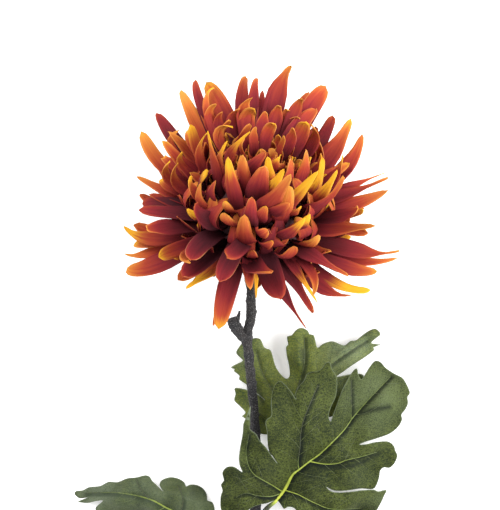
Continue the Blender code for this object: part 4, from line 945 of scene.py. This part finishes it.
def receptacle():
    """The solid heart that the petals stand on, seen only between them, coloured dark as painted
    shade for the gaps.
    """
    bpy.ops.object.select_all(action="DESELECT")
    bpy.ops.mesh.primitive_uv_sphere_add(
        segments=40, ring_count=24, radius=MOUND_CORE_RADIUS * 0.92, location=MOUND_CENTRE)
    heart = bpy.context.object
    heart.name = "receptacle"
    bpy.ops.object.transform_apply(location=True, rotation=True, scale=True)
    for vertex in heart.data.vertices:
        offset = vertex.co - MOUND_CENTRE
        rough = 1.0 + 0.05 * noise.noise(vertex.co / (4.0 * MM))
        depth = offset.dot(BLOOM_AXIS)
        if depth < 0.0:
            widen = 1.0 + 0.22 * math.sin(min(1.0, -depth / (17.0 * MM)) * math.pi)
            offset = (offset - BLOOM_AXIS * depth) * widen + BLOOM_AXIS * depth
        vertex.co = MOUND_CENTRE + offset * rough
    bpy.ops.object.shade_smooth()
    return heart


def tube(name, points, radii, sides_each_quarter):
    """A round tube along the points, made as a thick curve and turned into a mesh."""
    curve = bpy.data.curves.new(name, "CURVE")
    curve.dimensions = "3D"
    curve.bevel_depth = 1.0
    curve.bevel_resolution = sides_each_quarter
    curve.use_fill_caps = True
    spline = curve.splines.new("POLY")
    spline.points.add(len(points) - 1)
    for spline_point, point, radius in zip(spline.points, points, radii):
        spline_point.co = (*point, 1.0)
        spline_point.radius = radius
    show_only(added(name, curve))
    bpy.ops.object.convert(target="MESH")
    bpy.ops.object.shade_smooth()
    return bpy.context.object


def rounded(points, step, closed=False):
    """A smooth line through points of any size, with a new point about every step."""
    count = len(points)
    line = []
    for i in range(count if closed else count - 1):
        if closed:
            four = [points[(i + k) % count] for k in (-1, 0, 1, 2)]
        else:
            four = [points[min(max(i + k, 0), count - 1)] for k in (-1, 0, 1, 2)]
        a, b, c, d = [np.array(corner, float) for corner in four]
        pieces = max(1, round(float(np.linalg.norm((c - b)[:2])) / step))
        for k in range(pieces):
            t = k / pieces
            line.append(0.5 * (2.0 * b + (c - a) * t + (2.0 * a - 5.0 * b + 4.0 * c - d) * t ** 2
                               + (3.0 * b - 3.0 * c + d - a) * t ** 3))
    if not closed:
        line.append(np.array(points[-1], float))
    return np.array(line)


def nearest_on(line, x, y):
    """How far a point is from a line of points, and how far along that line, from 0 to 1."""
    starts = line[:-1]
    along = line[1:] - starts
    offset = np.array((x, y)) - starts
    lengths = np.maximum((along ** 2).sum(axis=1), 1e-9)
    share = np.clip((offset * along).sum(axis=1) / lengths, 0.0, 1.0)
    gap = offset - along * share[:, None]
    distance = np.hypot(gap[:, 0], gap[:, 1])
    i = int(distance.argmin())
    return float(distance[i]), (i + float(share[i])) / len(starts)


def gap_to(line, x, y):
    """How far a point is from a line of points."""
    return nearest_on(line, x, y)[0]


def inside(outline, x, y):
    """Whether a point is within a closed outline."""
    x0, y0 = outline[:, 0], outline[:, 1]
    x1, y1 = np.roll(x0, -1), np.roll(y0, -1)
    crosses = (y0 > y) != (y1 > y)
    rise = np.where(crosses, y1 - y0, 1.0)
    return bool((crosses & (x < (x1 - x0) * (y - y0) / rise + x0)).sum() % 2)


class LeafPlan:
    """A leaf drawn flat in picture points: its edge, its ribs and the side veins off them."""

    def __init__(self, leaf):
        self.edge = rounded(leaf["outline"], LEAF_STEP, closed=True)
        self.ring = np.vstack((self.edge, self.edge[:1]))
        self.heights = leaf["heights"]
        self.ribs = [rounded(rib, LEAF_STEP) for rib in leaf["ribs"]]
        self.folds = [(rounded(line, LEAF_STEP), rise * MM, width)
                      for line, rise, width in leaf["folds"]]
        self.creases = [(rounded(line, LEAF_STEP), width) for line, width in leaf["creases"]]
        self.pale_spots = leaf["pale"]
        self.valley = leaf["valley"] * MM
        self.draw = random.Random(leaf["seed"])
        self.veins = []
        for rib in self.ribs:
            self.grow_veins(rib)

    def grow_veins(self, rib):
        """Side veins that leave a rib at a slant and stop short of the edge or the next rib."""
        walked = 0.0
        due = self.draw.uniform(*VEIN["first"])
        left = self.draw.random() < 0.5
        for i in range(1, len(rib) - 2):
            walked += float(np.linalg.norm(rib[i] - rib[i - 1]))
            if walked < due:
                continue
            due = walked + self.draw.uniform(*VEIN["gap"])
            left = not left
            hand = 1.0 if left else -1.0
            along = rib[i + 1] - rib[i]
            heading = math.atan2(along[1], along[0])
            heading += math.radians(self.draw.uniform(*VEIN["slant"])) * hand
            bend = math.radians(self.draw.uniform(*VEIN["bend"])) * hand
            line = [rib[i]]
            for _ in range(VEIN["steps"]):
                heading += bend + math.radians(self.draw.uniform(*VEIN["wander"]))
                forward = np.array((math.cos(heading), math.sin(heading)))
                ahead = line[-1] + VEIN["step"] * forward
                others = [gap_to(other, *ahead) for other in self.ribs if other is not rib]
                if not inside(self.edge, *ahead) or gap_to(self.ring, *ahead) < 2.5:
                    break
                if others and min(others) < 2.0:
                    break
                line.append(ahead)
            if len(line) > 4:
                self.veins.append(np.array(line))

    def big_waves(self, x, y):
        """Height that passes smoothly between the heights known at a few points, in metres."""
        total = weights = 0.0
        for known_x, known_y, height in self.heights:
            weight = 1.0 / ((x - known_x) ** 2 + (y - known_y) ** 2 + 30.0) ** 1.6
            total += height * weight
            weights += weight
        return total / weights * MM

    def paleness(self, x, y):
        """How much painted sheen lightens the cloth at a point; below 0, how much painted shade
        darkens it.
        """
        spots = [much * math.exp(-((x - spot_x) ** 2 + (y - spot_y) ** 2) / reach ** 2)
                 for spot_x, spot_y, reach, much in self.pale_spots]
        return max(0.0, *spots) + min(0.0, *spots)

    def painted_shade_at(self, x, y):
        """How much painted shade darkens the cloth along creases, and beside a rib on the side away
        from the light.
        """
        darkest = 0.0
        for number, rib in enumerate(self.ribs):
            distance, share = nearest_on(rib, x, y)
            width = SHADE_WIDTHS[number > 0] * (1.0 - 0.3 * share)
            if distance < width:
                ahead = gap_to(rib, x + SHADED_SIDE[0], y + SHADED_SIDE[1])
                away = clamped(0.35 + 0.9 * (ahead - distance))
                near = min(1.0, 2.2 * (1.0 - distance / width))
                darkest = max(darkest, away * near * (1.0 - 0.2 * share))
        for line, width in self.creases:
            darkest = max(darkest, 0.85 * math.exp(-(gap_to(line, x, y) / width) ** 2))
        return darkest

    def height(self, x, y):
        """Height of the cloth: its big waves, the valley at each rib, and the waved edge."""
        to_edge, around = nearest_on(self.ring, x, y)
        to_rib = min(gap_to(rib, x, y) for rib in self.ribs)
        to_vein = min((gap_to(vein, x, y) for vein in self.veins), default=9.0)
        corners = len(self.edge)
        height = self.big_waves(x, y)
        height += self.valley * (0.5 - math.exp(-gap_to(self.ribs[0], x, y) / 16.0))
        for line, rise, width in self.folds:
            height += rise * math.exp(-gap_to(line, x, y) / width)
        height += (0.9 * (1.0 - math.exp(-to_rib / 4.0)) - 0.55) * MM
        height -= 0.22 * MM * math.exp(-(to_vein / 1.3) ** 2)
        waves = math.sin(around * corners * 0.21) + 0.6 * math.sin(around * corners * 0.47)
        height += 0.55 * MM * waves * math.exp(-to_edge / 4.0)
        height += 0.9 * MM * noise.noise(Vector((x / 15.0, y / 15.0, corners)))
        height += 0.28 * MM * noise.noise(Vector((x / 4.5, y / 4.5, corners)))
        return max(height, CLOTH_THICKNESS * 0.6)


def leaf_points(plan):
    """Points all over the leaf: its edge, rows beside each rib, and an even spread elsewhere."""
    beside = []
    for rib in plan.ribs:
        for i in range(len(rib) - 1):
            along = rib[i + 1] - rib[i]
            across = np.array((-along[1], along[0])) / max(float(np.linalg.norm(along)), 1e-6)
            beside += [rib[i] + across * offset for offset in ROWS_BESIDE_RIB]
    kept = []
    for x, y in beside:
        if not inside(plan.edge, x, y) or gap_to(plan.ring, x, y) < POINT_GAPS["edge"]:
            continue
        if kept and np.hypot(*(np.array(kept) - (x, y)).T).min() < POINT_GAPS["each_other"]:
            continue
        kept.append((x, y))
    low = plan.edge.min(axis=0)
    high = plan.edge.max(axis=0)
    row = 0
    y = low[1]
    while y < high[1]:
        x = low[0] + (LEAF_STEP * 0.5 if row % 2 else 0.0)
        while x < high[0]:
            if inside(plan.edge, x, y) and gap_to(plan.ring, x, y) > POINT_GAPS["inner_edge"]:
                if min(gap_to(rib, x, y) for rib in plan.ribs) > POINT_GAPS["rib"]:
                    kept.append((x, y))
            x += LEAF_STEP
        y += LEAF_STEP * 0.866
        row += 1
    return [tuple(corner) for corner in plan.edge] + kept


def leaf_blade(name, plan):
    """The leaf's cloth: one fine waved sheet with its thickness."""
    flat = [Vector(corner) for corner in leaf_points(plan)]
    border = len(plan.edge)
    edges = [(i, (i + 1) % border) for i in range(border)]
    points, _, faces, _, _, _ = delaunay_2d_cdt(flat, edges, [list(range(border))], 1, 0.01)
    mesh = bpy.data.meshes.new(name)
    mesh.from_pydata([place(point.x, point.y, plan.height(point.x, point.y)) for point in points],
                     [], [list(face) for face in faces])
    stored(mesh, rib_dark=[plan.painted_shade_at(point.x, point.y) for point in points],
           pale=[plan.paleness(point.x, point.y) for point in points],
           edge_gap=[gap_to(plan.ring, point.x, point.y) for point in points])
    blade = added(name, mesh)
    show_only(blade)
    bpy.ops.object.mode_set(mode="EDIT")
    bpy.ops.mesh.select_all(action="SELECT")
    bpy.ops.mesh.delete_loose()
    bpy.ops.mesh.select_all(action="SELECT")
    bpy.ops.mesh.normals_make_consistent(inside=False)
    bpy.ops.object.mode_set(mode="OBJECT")
    if sum(polygon.normal.z for polygon in mesh.polygons) < 0.0:
        mesh.flip_normals()
    return thickened(blade)


def brightened(cord, first, last, rings, dull_rings=0):
    """Stores how bright a cord is, ring by ring along it, after the dull rings of a stalk."""
    corners = len(cord.data.vertices)
    sides = corners // rings
    values = []
    for i in range(corners):
        onward = i // sides - dull_rings
        bright = first + (last - first) * clamped(onward / (rings - 1 - dull_rings)) ** 0.6
        values.append(bright * clamped((onward + 1) / 4) if dull_rings else bright)
    stored(cord.data, bright=values)
    return cord


def leaf_ribs(name, plan, stalk, lights):
    """The ribs as raised cords on the cloth, the first of them with its stalk, and the veins."""
    cords = []
    for number, rib in enumerate(plan.ribs):
        main = number == 0
        thick, thin = MAIN_RIB_RADII if main else RIB_RADII
        points, radii, dull_rings = [], [], 0
        for i, (x, y) in enumerate(rib):
            share = i / (len(rib) - 1)
            radius = thick + (thin - thick) * share ** 0.45
            if main:
                knob = 0.5 * math.exp(-((share - 0.13) / 0.07) ** 2)
                radius *= 1.0 + knob + 0.35 * noise.noise(Vector((i * 0.7, 0, 3)))
            points.append(place(x, y, plan.height(x, y) + CLOTH_THICKNESS * 0.5 + radius * 0.35))
            radii.append(radius)
        if main:
            start = [place(x, y, height * MM) for x, y, height in stalk]
            line = rounded([tuple(point * 1000.0) for point in start + points[:1]], 1.5)[:-1]
            points = [Vector(point) * MM for point in line] + points
            radii = list(np.linspace(STALK_RADIUS, thick * 1.1, len(line))) + radii
            dull_rings = len(line)
        cord = tube("cord", points, radii, 2 if main else 1)
        cords.append(brightened(cord, *lights[number], len(points), dull_rings))
    for vein in plan.veins:
        points = [place(x, y, plan.height(x, y) + CLOTH_THICKNESS * 0.5) for x, y in vein]
        cord = tube("cord", points, np.linspace(*VEIN_RADII, len(points)), 0)
        cords.append(brightened(cord, *VEIN_LIGHTS, len(points)))
    return joined(name, cords)


def roughened(thing, lump_size, lump_height, grain_size, grain_height):
    """Pushes the surface in and out, in lumps and in fine grain, and keeps it above the table."""
    places = []
    for vertex in thing.data.vertices:
        lump = noise.noise(vertex.co / lump_size)
        grain = noise.noise(vertex.co / grain_size)
        moved = vertex.co + vertex.normal * (lump * lump_height + grain * grain_height)
        moved.z = max(moved.z, 0.05 * MM)
        places.append(moved)
    for vertex, moved in zip(thing.data.vertices, places):
        vertex.co = moved
    return thing


def cut_slanted(cord):
    """Slants the flat lower end of the stem, as wire cutters leave it."""
    lowest = min(vertex.co.y for vertex in cord.data.vertices)
    cut = [vertex for vertex in cord.data.vertices if vertex.co.y < lowest + 0.1 * MM]
    middle = sum(vertex.co.x for vertex in cut) / len(cut)
    for vertex in cut:
        vertex.co.y += 1.0 * MM + 0.35 * (vertex.co.x - middle)


def stem_cord(line, start, sides_each_quarter):
    """A cord of the stem from a line of picture points, heights and shares of its radius."""
    spots = start + [(*(place(x, y, height * MM) / MM), thickness)
                     for x, y, height, thickness in line]
    fine = rounded(spots, 0.8)
    return tube("cord", [Vector(spot[:3]) * MM for spot in fine],
                [STEM_RADIUS * spot[3] for spot in fine], sides_each_quarter)


def stem():
    """The coated stem, its broken side shoot and twig, and the slanted cut at its lower end."""
    neck = BLOOM_CENTRE - BLOOM_AXIS * (CORE_BACK + GAP + CALYX_LENGTH + GAP)
    bend = neck - BLOOM_AXIS * 7.0 * MM
    main = stem_cord(STEM_LINE, [(*(neck / MM), 1.0), (*(bend / MM), 1.0)], 4)
    cut_slanted(main)
    cords = [main, stem_cord(SHOOT_LINE, [], 4), stem_cord(TWIG_LINE, [], 3)]
    return roughened(joined("stem_coating", cords), *COATING)


def calyx():
    """The cup under the head, wrapped in rows of small pointed bracts."""
    top = BLOOM_CENTRE - BLOOM_AXIS * (CORE_BACK + GAP)
    profile = rounded(CUP_PROFILE, 0.08)
    points = [top - BLOOM_AXIS * CALYX_LENGTH * share for share, _ in profile]
    cup = tube("calyx_cup", points, [CALYX_RADIUS * width * 0.97 for _, width in profile], 6)
    blank = flat_strip(4, 7)
    bracts = []
    draw = random.Random(SEED + 5)
    for start, reach, count, width in BRACT_ROWS:
        for i in range(count):
            turn = 2.0 * math.pi * (i + draw.uniform(-0.12, 0.12) + 0.5 * (start > 0.8)) / count
            out = direction_about(BLOOM_AXIS, math.pi / 2.0, turn)
            across = BLOOM_AXIS.cross(out)
            mesh = blank.data.copy()
            for vertex in mesh.vertices:
                share = vertex.co.y + 0.5
                side = vertex.co.x * 2.0
                depth = start + (reach - start) * share
                radius = float(np.interp(depth, profile[:, 0], profile[:, 1])) * CALYX_RADIUS
                flare = 1.4 * MM * max(0.0, share - 0.55) ** 1.5 * draw.uniform(0.9, 1.6)
                half = width * (1.0 - share ** 2.2) ** 0.8 * 0.5 + 0.1 * MM
                lift = (0.35 + 0.75 * share) * MM + flare - abs(side) ** 2 * 0.45 * MM
                spot = top - BLOOM_AXIS * CALYX_LENGTH * depth + out * (radius + lift)
                vertex.co = spot + across * side * half
            bracts.append(added("bract", mesh))
    bpy.data.objects.remove(blank, do_unlink=True)
    return cup, thickened(joined("calyx_bracts", bracts))


class Wire:
    """What flows out of a shader node; arithmetic on it adds Math nodes to its tree."""

    def __init__(self, socket):
        self.socket = socket
        self.tree = socket.id_data

    def __add__(self, other):
        return calculated("ADD", self, other)

    def __sub__(self, other):
        return calculated("SUBTRACT", self, other)

    def __rsub__(self, other):
        return calculated("SUBTRACT", other, self)

    def __mul__(self, other):
        return calculated("MULTIPLY", self, other)

    __radd__ = __add__
    __rmul__ = __mul__


def feed(inputs, values):
    """Links each wire to its input, and sets each number or colour on its own."""
    for key, value in values.items():
        if isinstance(value, Wire):
            value.tree.links.new(value.socket, inputs[key])
        elif inputs[key].type == "RGBA":
            inputs[key].default_value = (*value, 1.0)
        else:
            inputs[key].default_value = value


def add_node(tree, kind, inputs, **settings):
    """Adds a node with its settings, and feeds its inputs."""
    made = tree.nodes.new(kind)
    for name, value in settings.items():
        setattr(made, name, value)
    feed(made.inputs, inputs)
    return made


def tree_of(*values):
    """The node tree that the wires among these values belong to."""
    return next(value.tree for value in values if isinstance(value, Wire))


def calculated(operation, first, second=0.0, clamp=False):
    """What a Math node makes of two values."""
    made = add_node(tree_of(first, second), "ShaderNodeMath", {0: first, 1: second},
                    operation=operation, use_clamp=clamp)
    return Wire(made.outputs[0])


def ramped(value, low, high):
    """0 at or below low and 1 at or above high, with soft ends."""
    made = add_node(value.tree, "ShaderNodeMapRange", {0: value, 1: low, 2: high},
                    clamp=True, interpolation_type="SMOOTHSTEP")
    return Wire(made.outputs[0])


def mixed(share, first, second, blend="MIX"):
    """One colour laid over another."""
    made = add_node(tree_of(share, first, second), "ShaderNodeMix",
                    {0: share, 6: first, 7: second}, data_type="RGBA", blend_type=blend)
    return Wire(made.outputs[2])


def colour_ramp(value, stops):
    """Colours placed along a value."""
    made = add_node(value.tree, "ShaderNodeValToRGB", {0: value})
    elements = made.color_ramp.elements
    while len(elements) < len(stops):
        elements.new(0.5)
    for element, (position, colour) in zip(elements, stops):
        element.position = position
        element.color = (*colour, 1.0)
    return Wire(made.outputs[0])


def combined(x, y, z):
    """A vector from three values."""
    return Wire(add_node(x.tree, "ShaderNodeCombineXYZ", {0: x, 1: y, 2: z}).outputs[0])


def stretched(where, scale, rotation=(0.0, 0.0, 0.0)):
    """A place turned and scaled along its axes."""
    made = add_node(where.tree, "ShaderNodeMapping",
                    {"Vector": where, "Scale": scale, "Rotation": rotation})
    return Wire(made.outputs[0])


def noise_at(where, scale, detail=3.0, roughness=0.55):
    """Cloudy noise read at a place."""
    made = add_node(where.tree, "ShaderNodeTexNoise", {
        "Vector": where, "Scale": scale, "Detail": detail, "Roughness": roughness})
    return Wire(made.outputs[0])


def effect(name, inputs, outputs):
    """An empty node group, with the wires from its inputs and the sockets of its outputs."""
    tree = bpy.data.node_groups.new(name, "ShaderNodeTree")
    for direction, sockets in (("INPUT", inputs), ("OUTPUT", outputs)):
        for socket_name, kind in sockets.items():
            tree.interface.new_socket(socket_name, in_out=direction, socket_type=kind)
    given = add_node(tree, "NodeGroupInput", {})
    return tree, [Wire(given.outputs[key]) for key in inputs], add_node(
        tree, "NodeGroupOutput", {}).inputs


def applied(tree, group, **values):
    """The wires from one use of a node group; values are numbers or wires."""
    made = add_node(tree, "ShaderNodeGroup", values, node_tree=group)
    return {socket.name: Wire(socket) for socket in made.outputs}


def petal_dye():
    """Dyed petal cloth: maroon root, crimson, orange, gold tip, paler cut rims that are partly a
    painted edge highlight, fine fibres, and painted shade towards the root and on petals given a
    low shade value.
    """
    value = "NodeSocketFloat"
    tree, (along, across, warmth, gold, shade), out = effect(
        "petal_dye", dict.fromkeys(("Along", "Across", "Warmth", "Gold", "Shade"), value),
        {"Colour": "NodeSocketColor", "Height": value})
    seed = shade * 37.0
    streak = noise_at(combined(across * 3.2, along * 1.3, seed), 1.0, 3.0)
    fibre = noise_at(combined(across * 13.0, along * 3.0, seed), 1.0, 2.0)
    from_middle = calculated("ABSOLUTE", across)
    reach = along + (streak - 0.5) * 0.3
    edge_warm = ramped(from_middle, 0.4, 1.0) * ramped(along, 0.25, 0.8)
    warm = reach + (warmth - 0.62) * 0.85 + edge_warm * 0.14
    base = colour_ramp(warm, PETAL_DYES)
    start = 1.06 - gold * 0.62
    golden = ramped(reach, start, start + 0.26) * ramped(gold, 0.02, 0.25)
    base = mixed(golden, base, GOLD_DYE)
    # Paler cut rims, partly the cloth's own edge and partly a painted highlight along the thin
    # edges
    rim = ramped(from_middle, 0.9, 1.0) * ramped(along, 0.4, 0.8)
    rim = rim * ramped(streak, 0.3, 0.75) * ramped(shade, -0.9, 0.9)
    base = mixed(rim * 0.7, base, RIM_DYE_AND_HIGHLIGHT)
    # Painted shade: each petal darkens towards its root, where it lies deep among the others, and
    # by its shade value, which is partly painted shade and partly its own random tone
    lit = 1.0 + shade * 0.12 - ramped(along, 0.45, 0.15) * 0.42
    lit = lit * (0.82 + fibre * 0.36)
    base = mixed(1.0, base, combined(lit, lit, lit), "MULTIPLY")
    feed(out, {"Colour": base, "Height": fibre - ramped(from_middle, 0.12, 0.0) * 0.35})
    return tree


def cloth_weave():
    """Fine woven threads, as a height and as a mask of lighter threads."""
    value = "NodeSocketFloat"
    tree, (where, thread), out = effect(
        "cloth_weave", {"Place": "NodeSocketVector", "Thread": value},
        {"Height": value, "Threads": value})
    parts = add_node(tree, "ShaderNodeSeparateXYZ", {0: where})
    turns = calculated("DIVIDE", 2.0 * math.pi, thread)
    wobble = noise_at(where, 0.35, 2.0)
    one, two = [calculated("SINE", (Wire(part) + wobble) * turns) for part in parts.outputs[:2]]
    height = (one + two) * 0.5
    feed(out, {"Height": height, "Threads": ramped(height, 0.2, 0.9)})
    return tree


def measure(tree, name):
    """A measure stored on the piece's own points."""
    return Wire(add_node(tree, "ShaderNodeAttribute", {}, attribute_name=name).outputs["Fac"])


def millimetres(tree):
    """The piece's own place, in millimetres."""
    where = Wire(add_node(tree, "ShaderNodeTexCoord", {}).outputs["Object"])
    return stretched(where, (1000.0, 1000.0, 1000.0))


def new_material(name):
    """A material with nothing but its shader."""
    made = bpy.data.materials.new(name)
    made.use_nodes = True
    return made, made.node_tree, made.node_tree.nodes["Principled BSDF"]


def dressed(shader, colour, roughness, relief, strength, depth):
    """Sets a shader's colour and roughness, and a relief of this strength and depth."""
    bump = add_node(relief.tree, "ShaderNodeBump", {
        "Height": relief, "Strength": strength, "Distance": depth})
    feed(shader.inputs, {"Base Color": colour, "Normal": Wire(bump.outputs[0]),
                         "Roughness": roughness})


def petal_material():
    """Petal cloth, dyed along and across each petal's own strip, with painted shade towards the
    roots and a painted edge highlight.
    """
    made, tree, shader = new_material("dyed_petal_cloth")
    unwrapped = Wire(add_node(tree, "ShaderNodeUVMap", {}, uv_map="UVMap").outputs[0])
    strip = add_node(tree, "ShaderNodeSeparateXYZ", {0: unwrapped})
    dyed = applied(tree, petal_dye(), Along=Wire(strip.outputs[1]),
                   Across=Wire(strip.outputs[0]) * 2.0 - 1.0, Warmth=measure(tree, "warmth"),
                   Gold=measure(tree, "gold"), Shade=measure(tree, "shade"))
    dressed(shader, dyed["Colour"], 0.62, dyed["Height"], 0.35, 0.0004)
    feed(shader.inputs, {"Specular IOR Level": 0.07})
    return made


def heart_material():
    """Cloth that closes the gaps between the petals' roots, coloured dark as painted shade for the
    deep gaps.
    """
    made, tree, shader = new_material("heart_cloth_painted_shade")
    cloud = noise_at(millimetres(tree), 0.35, 4.0)
    # Painted shade: the heart is coloured dark to stand for the deep shade between the petals'
    # roots
    colour = mixed(cloud, (0.06, 0.026, 0.030), (0.10, 0.036, 0.040))
    dressed(shader, colour, 0.9, cloud, 0.5, 0.001)
    return made


def leaf_material(name, weave, tone):
    """Printed leaf cloth: crinkled olive, a fine net of lighter green, painted shade beside the
    ribs and along creases, painted sheen in spots, a light rim.
    """
    made, tree, shader = new_material(name)
    where = millimetres(tree)
    patches = noise_at(where, 0.07)
    fleck = noise_at(where, 1.9, 3.0, 0.7)
    crinkle = noise_at(stretched(where, (0.5, 1.9, 1.0), (0.0, 0.0, 0.5)), 0.8, 3.0, 0.6)
    base = mixed(ramped(patches, 0.38, 0.66), tone["deep"], tone["olive"])
    base = mixed(ramped(crinkle, 0.47, 0.66) * 0.5, base, tone["moss"])
    base = mixed(ramped(fleck, 0.51, 0.60) * 0.85, base, tone["moss"])
    base = mixed(ramped(fleck, 0.46, 0.36) * 0.45, base, tone["shade_and_grain_dark"])
    bent = add_node(tree, "ShaderNodeVectorMath", {
        0: where, 1: combined(crinkle * 2.0, patches * 3.0, 0.0)}, operation="ADD")
    net = add_node(tree, "ShaderNodeTexVoronoi", {
        "Scale": 0.55, "Vector": Wire(bent.outputs[0])}, feature="DISTANCE_TO_EDGE")
    net_line = ramped(Wire(net.outputs["Distance"]), 0.14, 0.02) * ramped(patches, 0.4, 0.62)
    base = mixed(net_line * tone["net"], base, tone["vein"])
    threads = applied(tree, weave, Place=where, Thread=0.8)
    base = mixed(threads["Threads"] * 0.16, base, tone["thread"])
    pale = measure(tree, "pale")
    # Painted sheen: the lighter spots of the cloth, broken by its grain
    painted_sheen_in_grain = calculated("MULTIPLY", pale, ramped(fleck, 0.30, 0.55), clamp=True)
    base = mixed(painted_sheen_in_grain, base, tone["pale"])
    # Painted shade: spots below 0 darken the cloth
    base = mixed(calculated("MULTIPLY", pale, -1.0, clamp=True), base, tone["shade_and_grain_dark"])
    # Painted shade beside the ribs on the side away from the light, and along the creases; the same
    # dark colour also marks dark grain flecks
    base = mixed(measure(tree, "rib_dark") * 0.92, base, tone["shade_and_grain_dark"])
    base = mixed(ramped(measure(tree, "edge_gap"), 0.8, 0.0) * 0.5, base, tone["rim"])
    relief = threads["Height"] * 0.3 + fleck + crinkle
    dressed(shader, base, tone["roughness"], relief, 0.4, 0.0005)
    feed(shader.inputs, {"Specular IOR Level": tone["gloss"], "Sheen Weight": tone["sheen"],
                         "Sheen Roughness": 0.35})
    return made


def rib_material():
    """Ribs, bright yellow-green where they are thick and nearly the leaf's green at their ends."""
    made, tree, shader = new_material("yellow_green_rib")
    where = millimetres(tree)
    cloud = noise_at(where, 0.5)
    fleck = noise_at(where, 2.2, 2.0)
    base = colour_ramp(measure(tree, "bright") + (cloud - 0.5) * 0.5, RIB_DYES)
    base = mixed(ramped(fleck, 0.5, 0.75) * 0.2, base, (0.50, 0.52, 0.10))
    dressed(shader, base, 0.5, fleck, 0.3, 0.0003)
    return made


def stem_material():
    """Rough dark coating with grey flecks and a brown cast here and there."""
    made, tree, shader = new_material("rough_stem_coating")
    where = millimetres(tree)
    cloud = noise_at(where, 0.12, 4.0)
    grit = noise_at(where, 1.5, 5.0, 0.75)
    base = mixed(ramped(cloud, 0.35, 0.7), (0.018, 0.018, 0.021), (0.034, 0.030, 0.028))
    base = mixed(ramped(grit, 0.54, 0.64), base, (0.19, 0.185, 0.185))
    base = mixed(ramped(grit, 0.49, 0.40), base, (0.005, 0.005, 0.006))
    dressed(shader, base, 0.8, grit, 1.0, 0.0012)
    return made


def floor_material():
    """White paper that glows a little, so that it stays nearly white in the flower's shadow."""
    made, tree, shader = new_material("white_table_paper")
    cloud = noise_at(millimetres(tree), 0.02)
    dressed(shader, mixed(cloud, (0.93, 0.93, 0.93), (0.95, 0.95, 0.95)), 0.9, cloud, 0.02, 0.0005)
    feed(shader.inputs, {"Emission Color": (1.0, 1.0, 1.0), "Emission Strength": 0.3})
    return made


def soft_light(name, spot, size, power):
    """A square studio lamp turned to the flower."""
    lamp = bpy.data.lights.new(name, "AREA")
    lamp.size = size
    lamp.energy = power
    thing = added(name, lamp)
    thing.location = spot
    thing.rotation_euler = (Vector(LAMP_AIM) - Vector(spot)).to_track_quat("-Z", "Y").to_euler()


def stage():
    """The white table, soft light from all round with more from the upper left, and the camera."""
    bpy.ops.object.select_all(action="DESELECT")
    bpy.ops.mesh.primitive_plane_add(size=TABLE_SIZE, location=(0.0, 0.0, 0.0))
    floor = bpy.context.object
    floor.name = "table_top"
    floor.data.materials.append(floor_material())
    world = bpy.data.worlds.new("white_room")
    world.use_nodes = True
    feed(world.node_tree.nodes["Background"].inputs,
         {"Color": (1.0, 1.0, 1.0), "Strength": WORLD_LIGHT})
    bpy.context.scene.world = world
    for name, lamp in LAMPS.items():
        soft_light(name, *lamp)
    lens = bpy.data.cameras.new("viewer")
    lens.sensor_fit = "VERTICAL"
    lens.sensor_height = SENSOR_HEIGHT
    lens.lens = SENSOR_HEIGHT * VIEW_DISTANCE / (PICTURE_HEIGHT * POINT_SIZE)
    lens.clip_start = 0.01
    viewer = added("viewer", lens)
    viewer.location = (VIEWER_X, VIEWER_Y, VIEWER_HEIGHT)
    bpy.context.scene.camera = viewer
    bpy.context.scene.view_settings.view_transform = "Standard"


def build():
    """All pieces of the flower, each in the place of its part of the model."""
    bloom(petal_material())
    finished(receptacle(), "bloom", heart_material())
    weave = cloth_weave()
    rib_dye = rib_material()
    for name, leaf in LEAVES.items():
        plan = LeafPlan(leaf)
        cloth = leaf_material(name + "_cloth", weave, leaf["tone"])
        finished(leaf_blade(name + "_blade", plan), name, cloth)
        ribs = leaf_ribs(name + "_ribs", plan, leaf["stalk"], leaf["lights"])
        finished(ribs, name, rib_dye)
    finished(stem(), "stem", stem_material())
    green = leaf_material("calyx_cloth", weave, LEAVES["leaf_left"]["tone"])
    for piece in calyx():
        finished(piece, "calyx", green)


stage()
build()
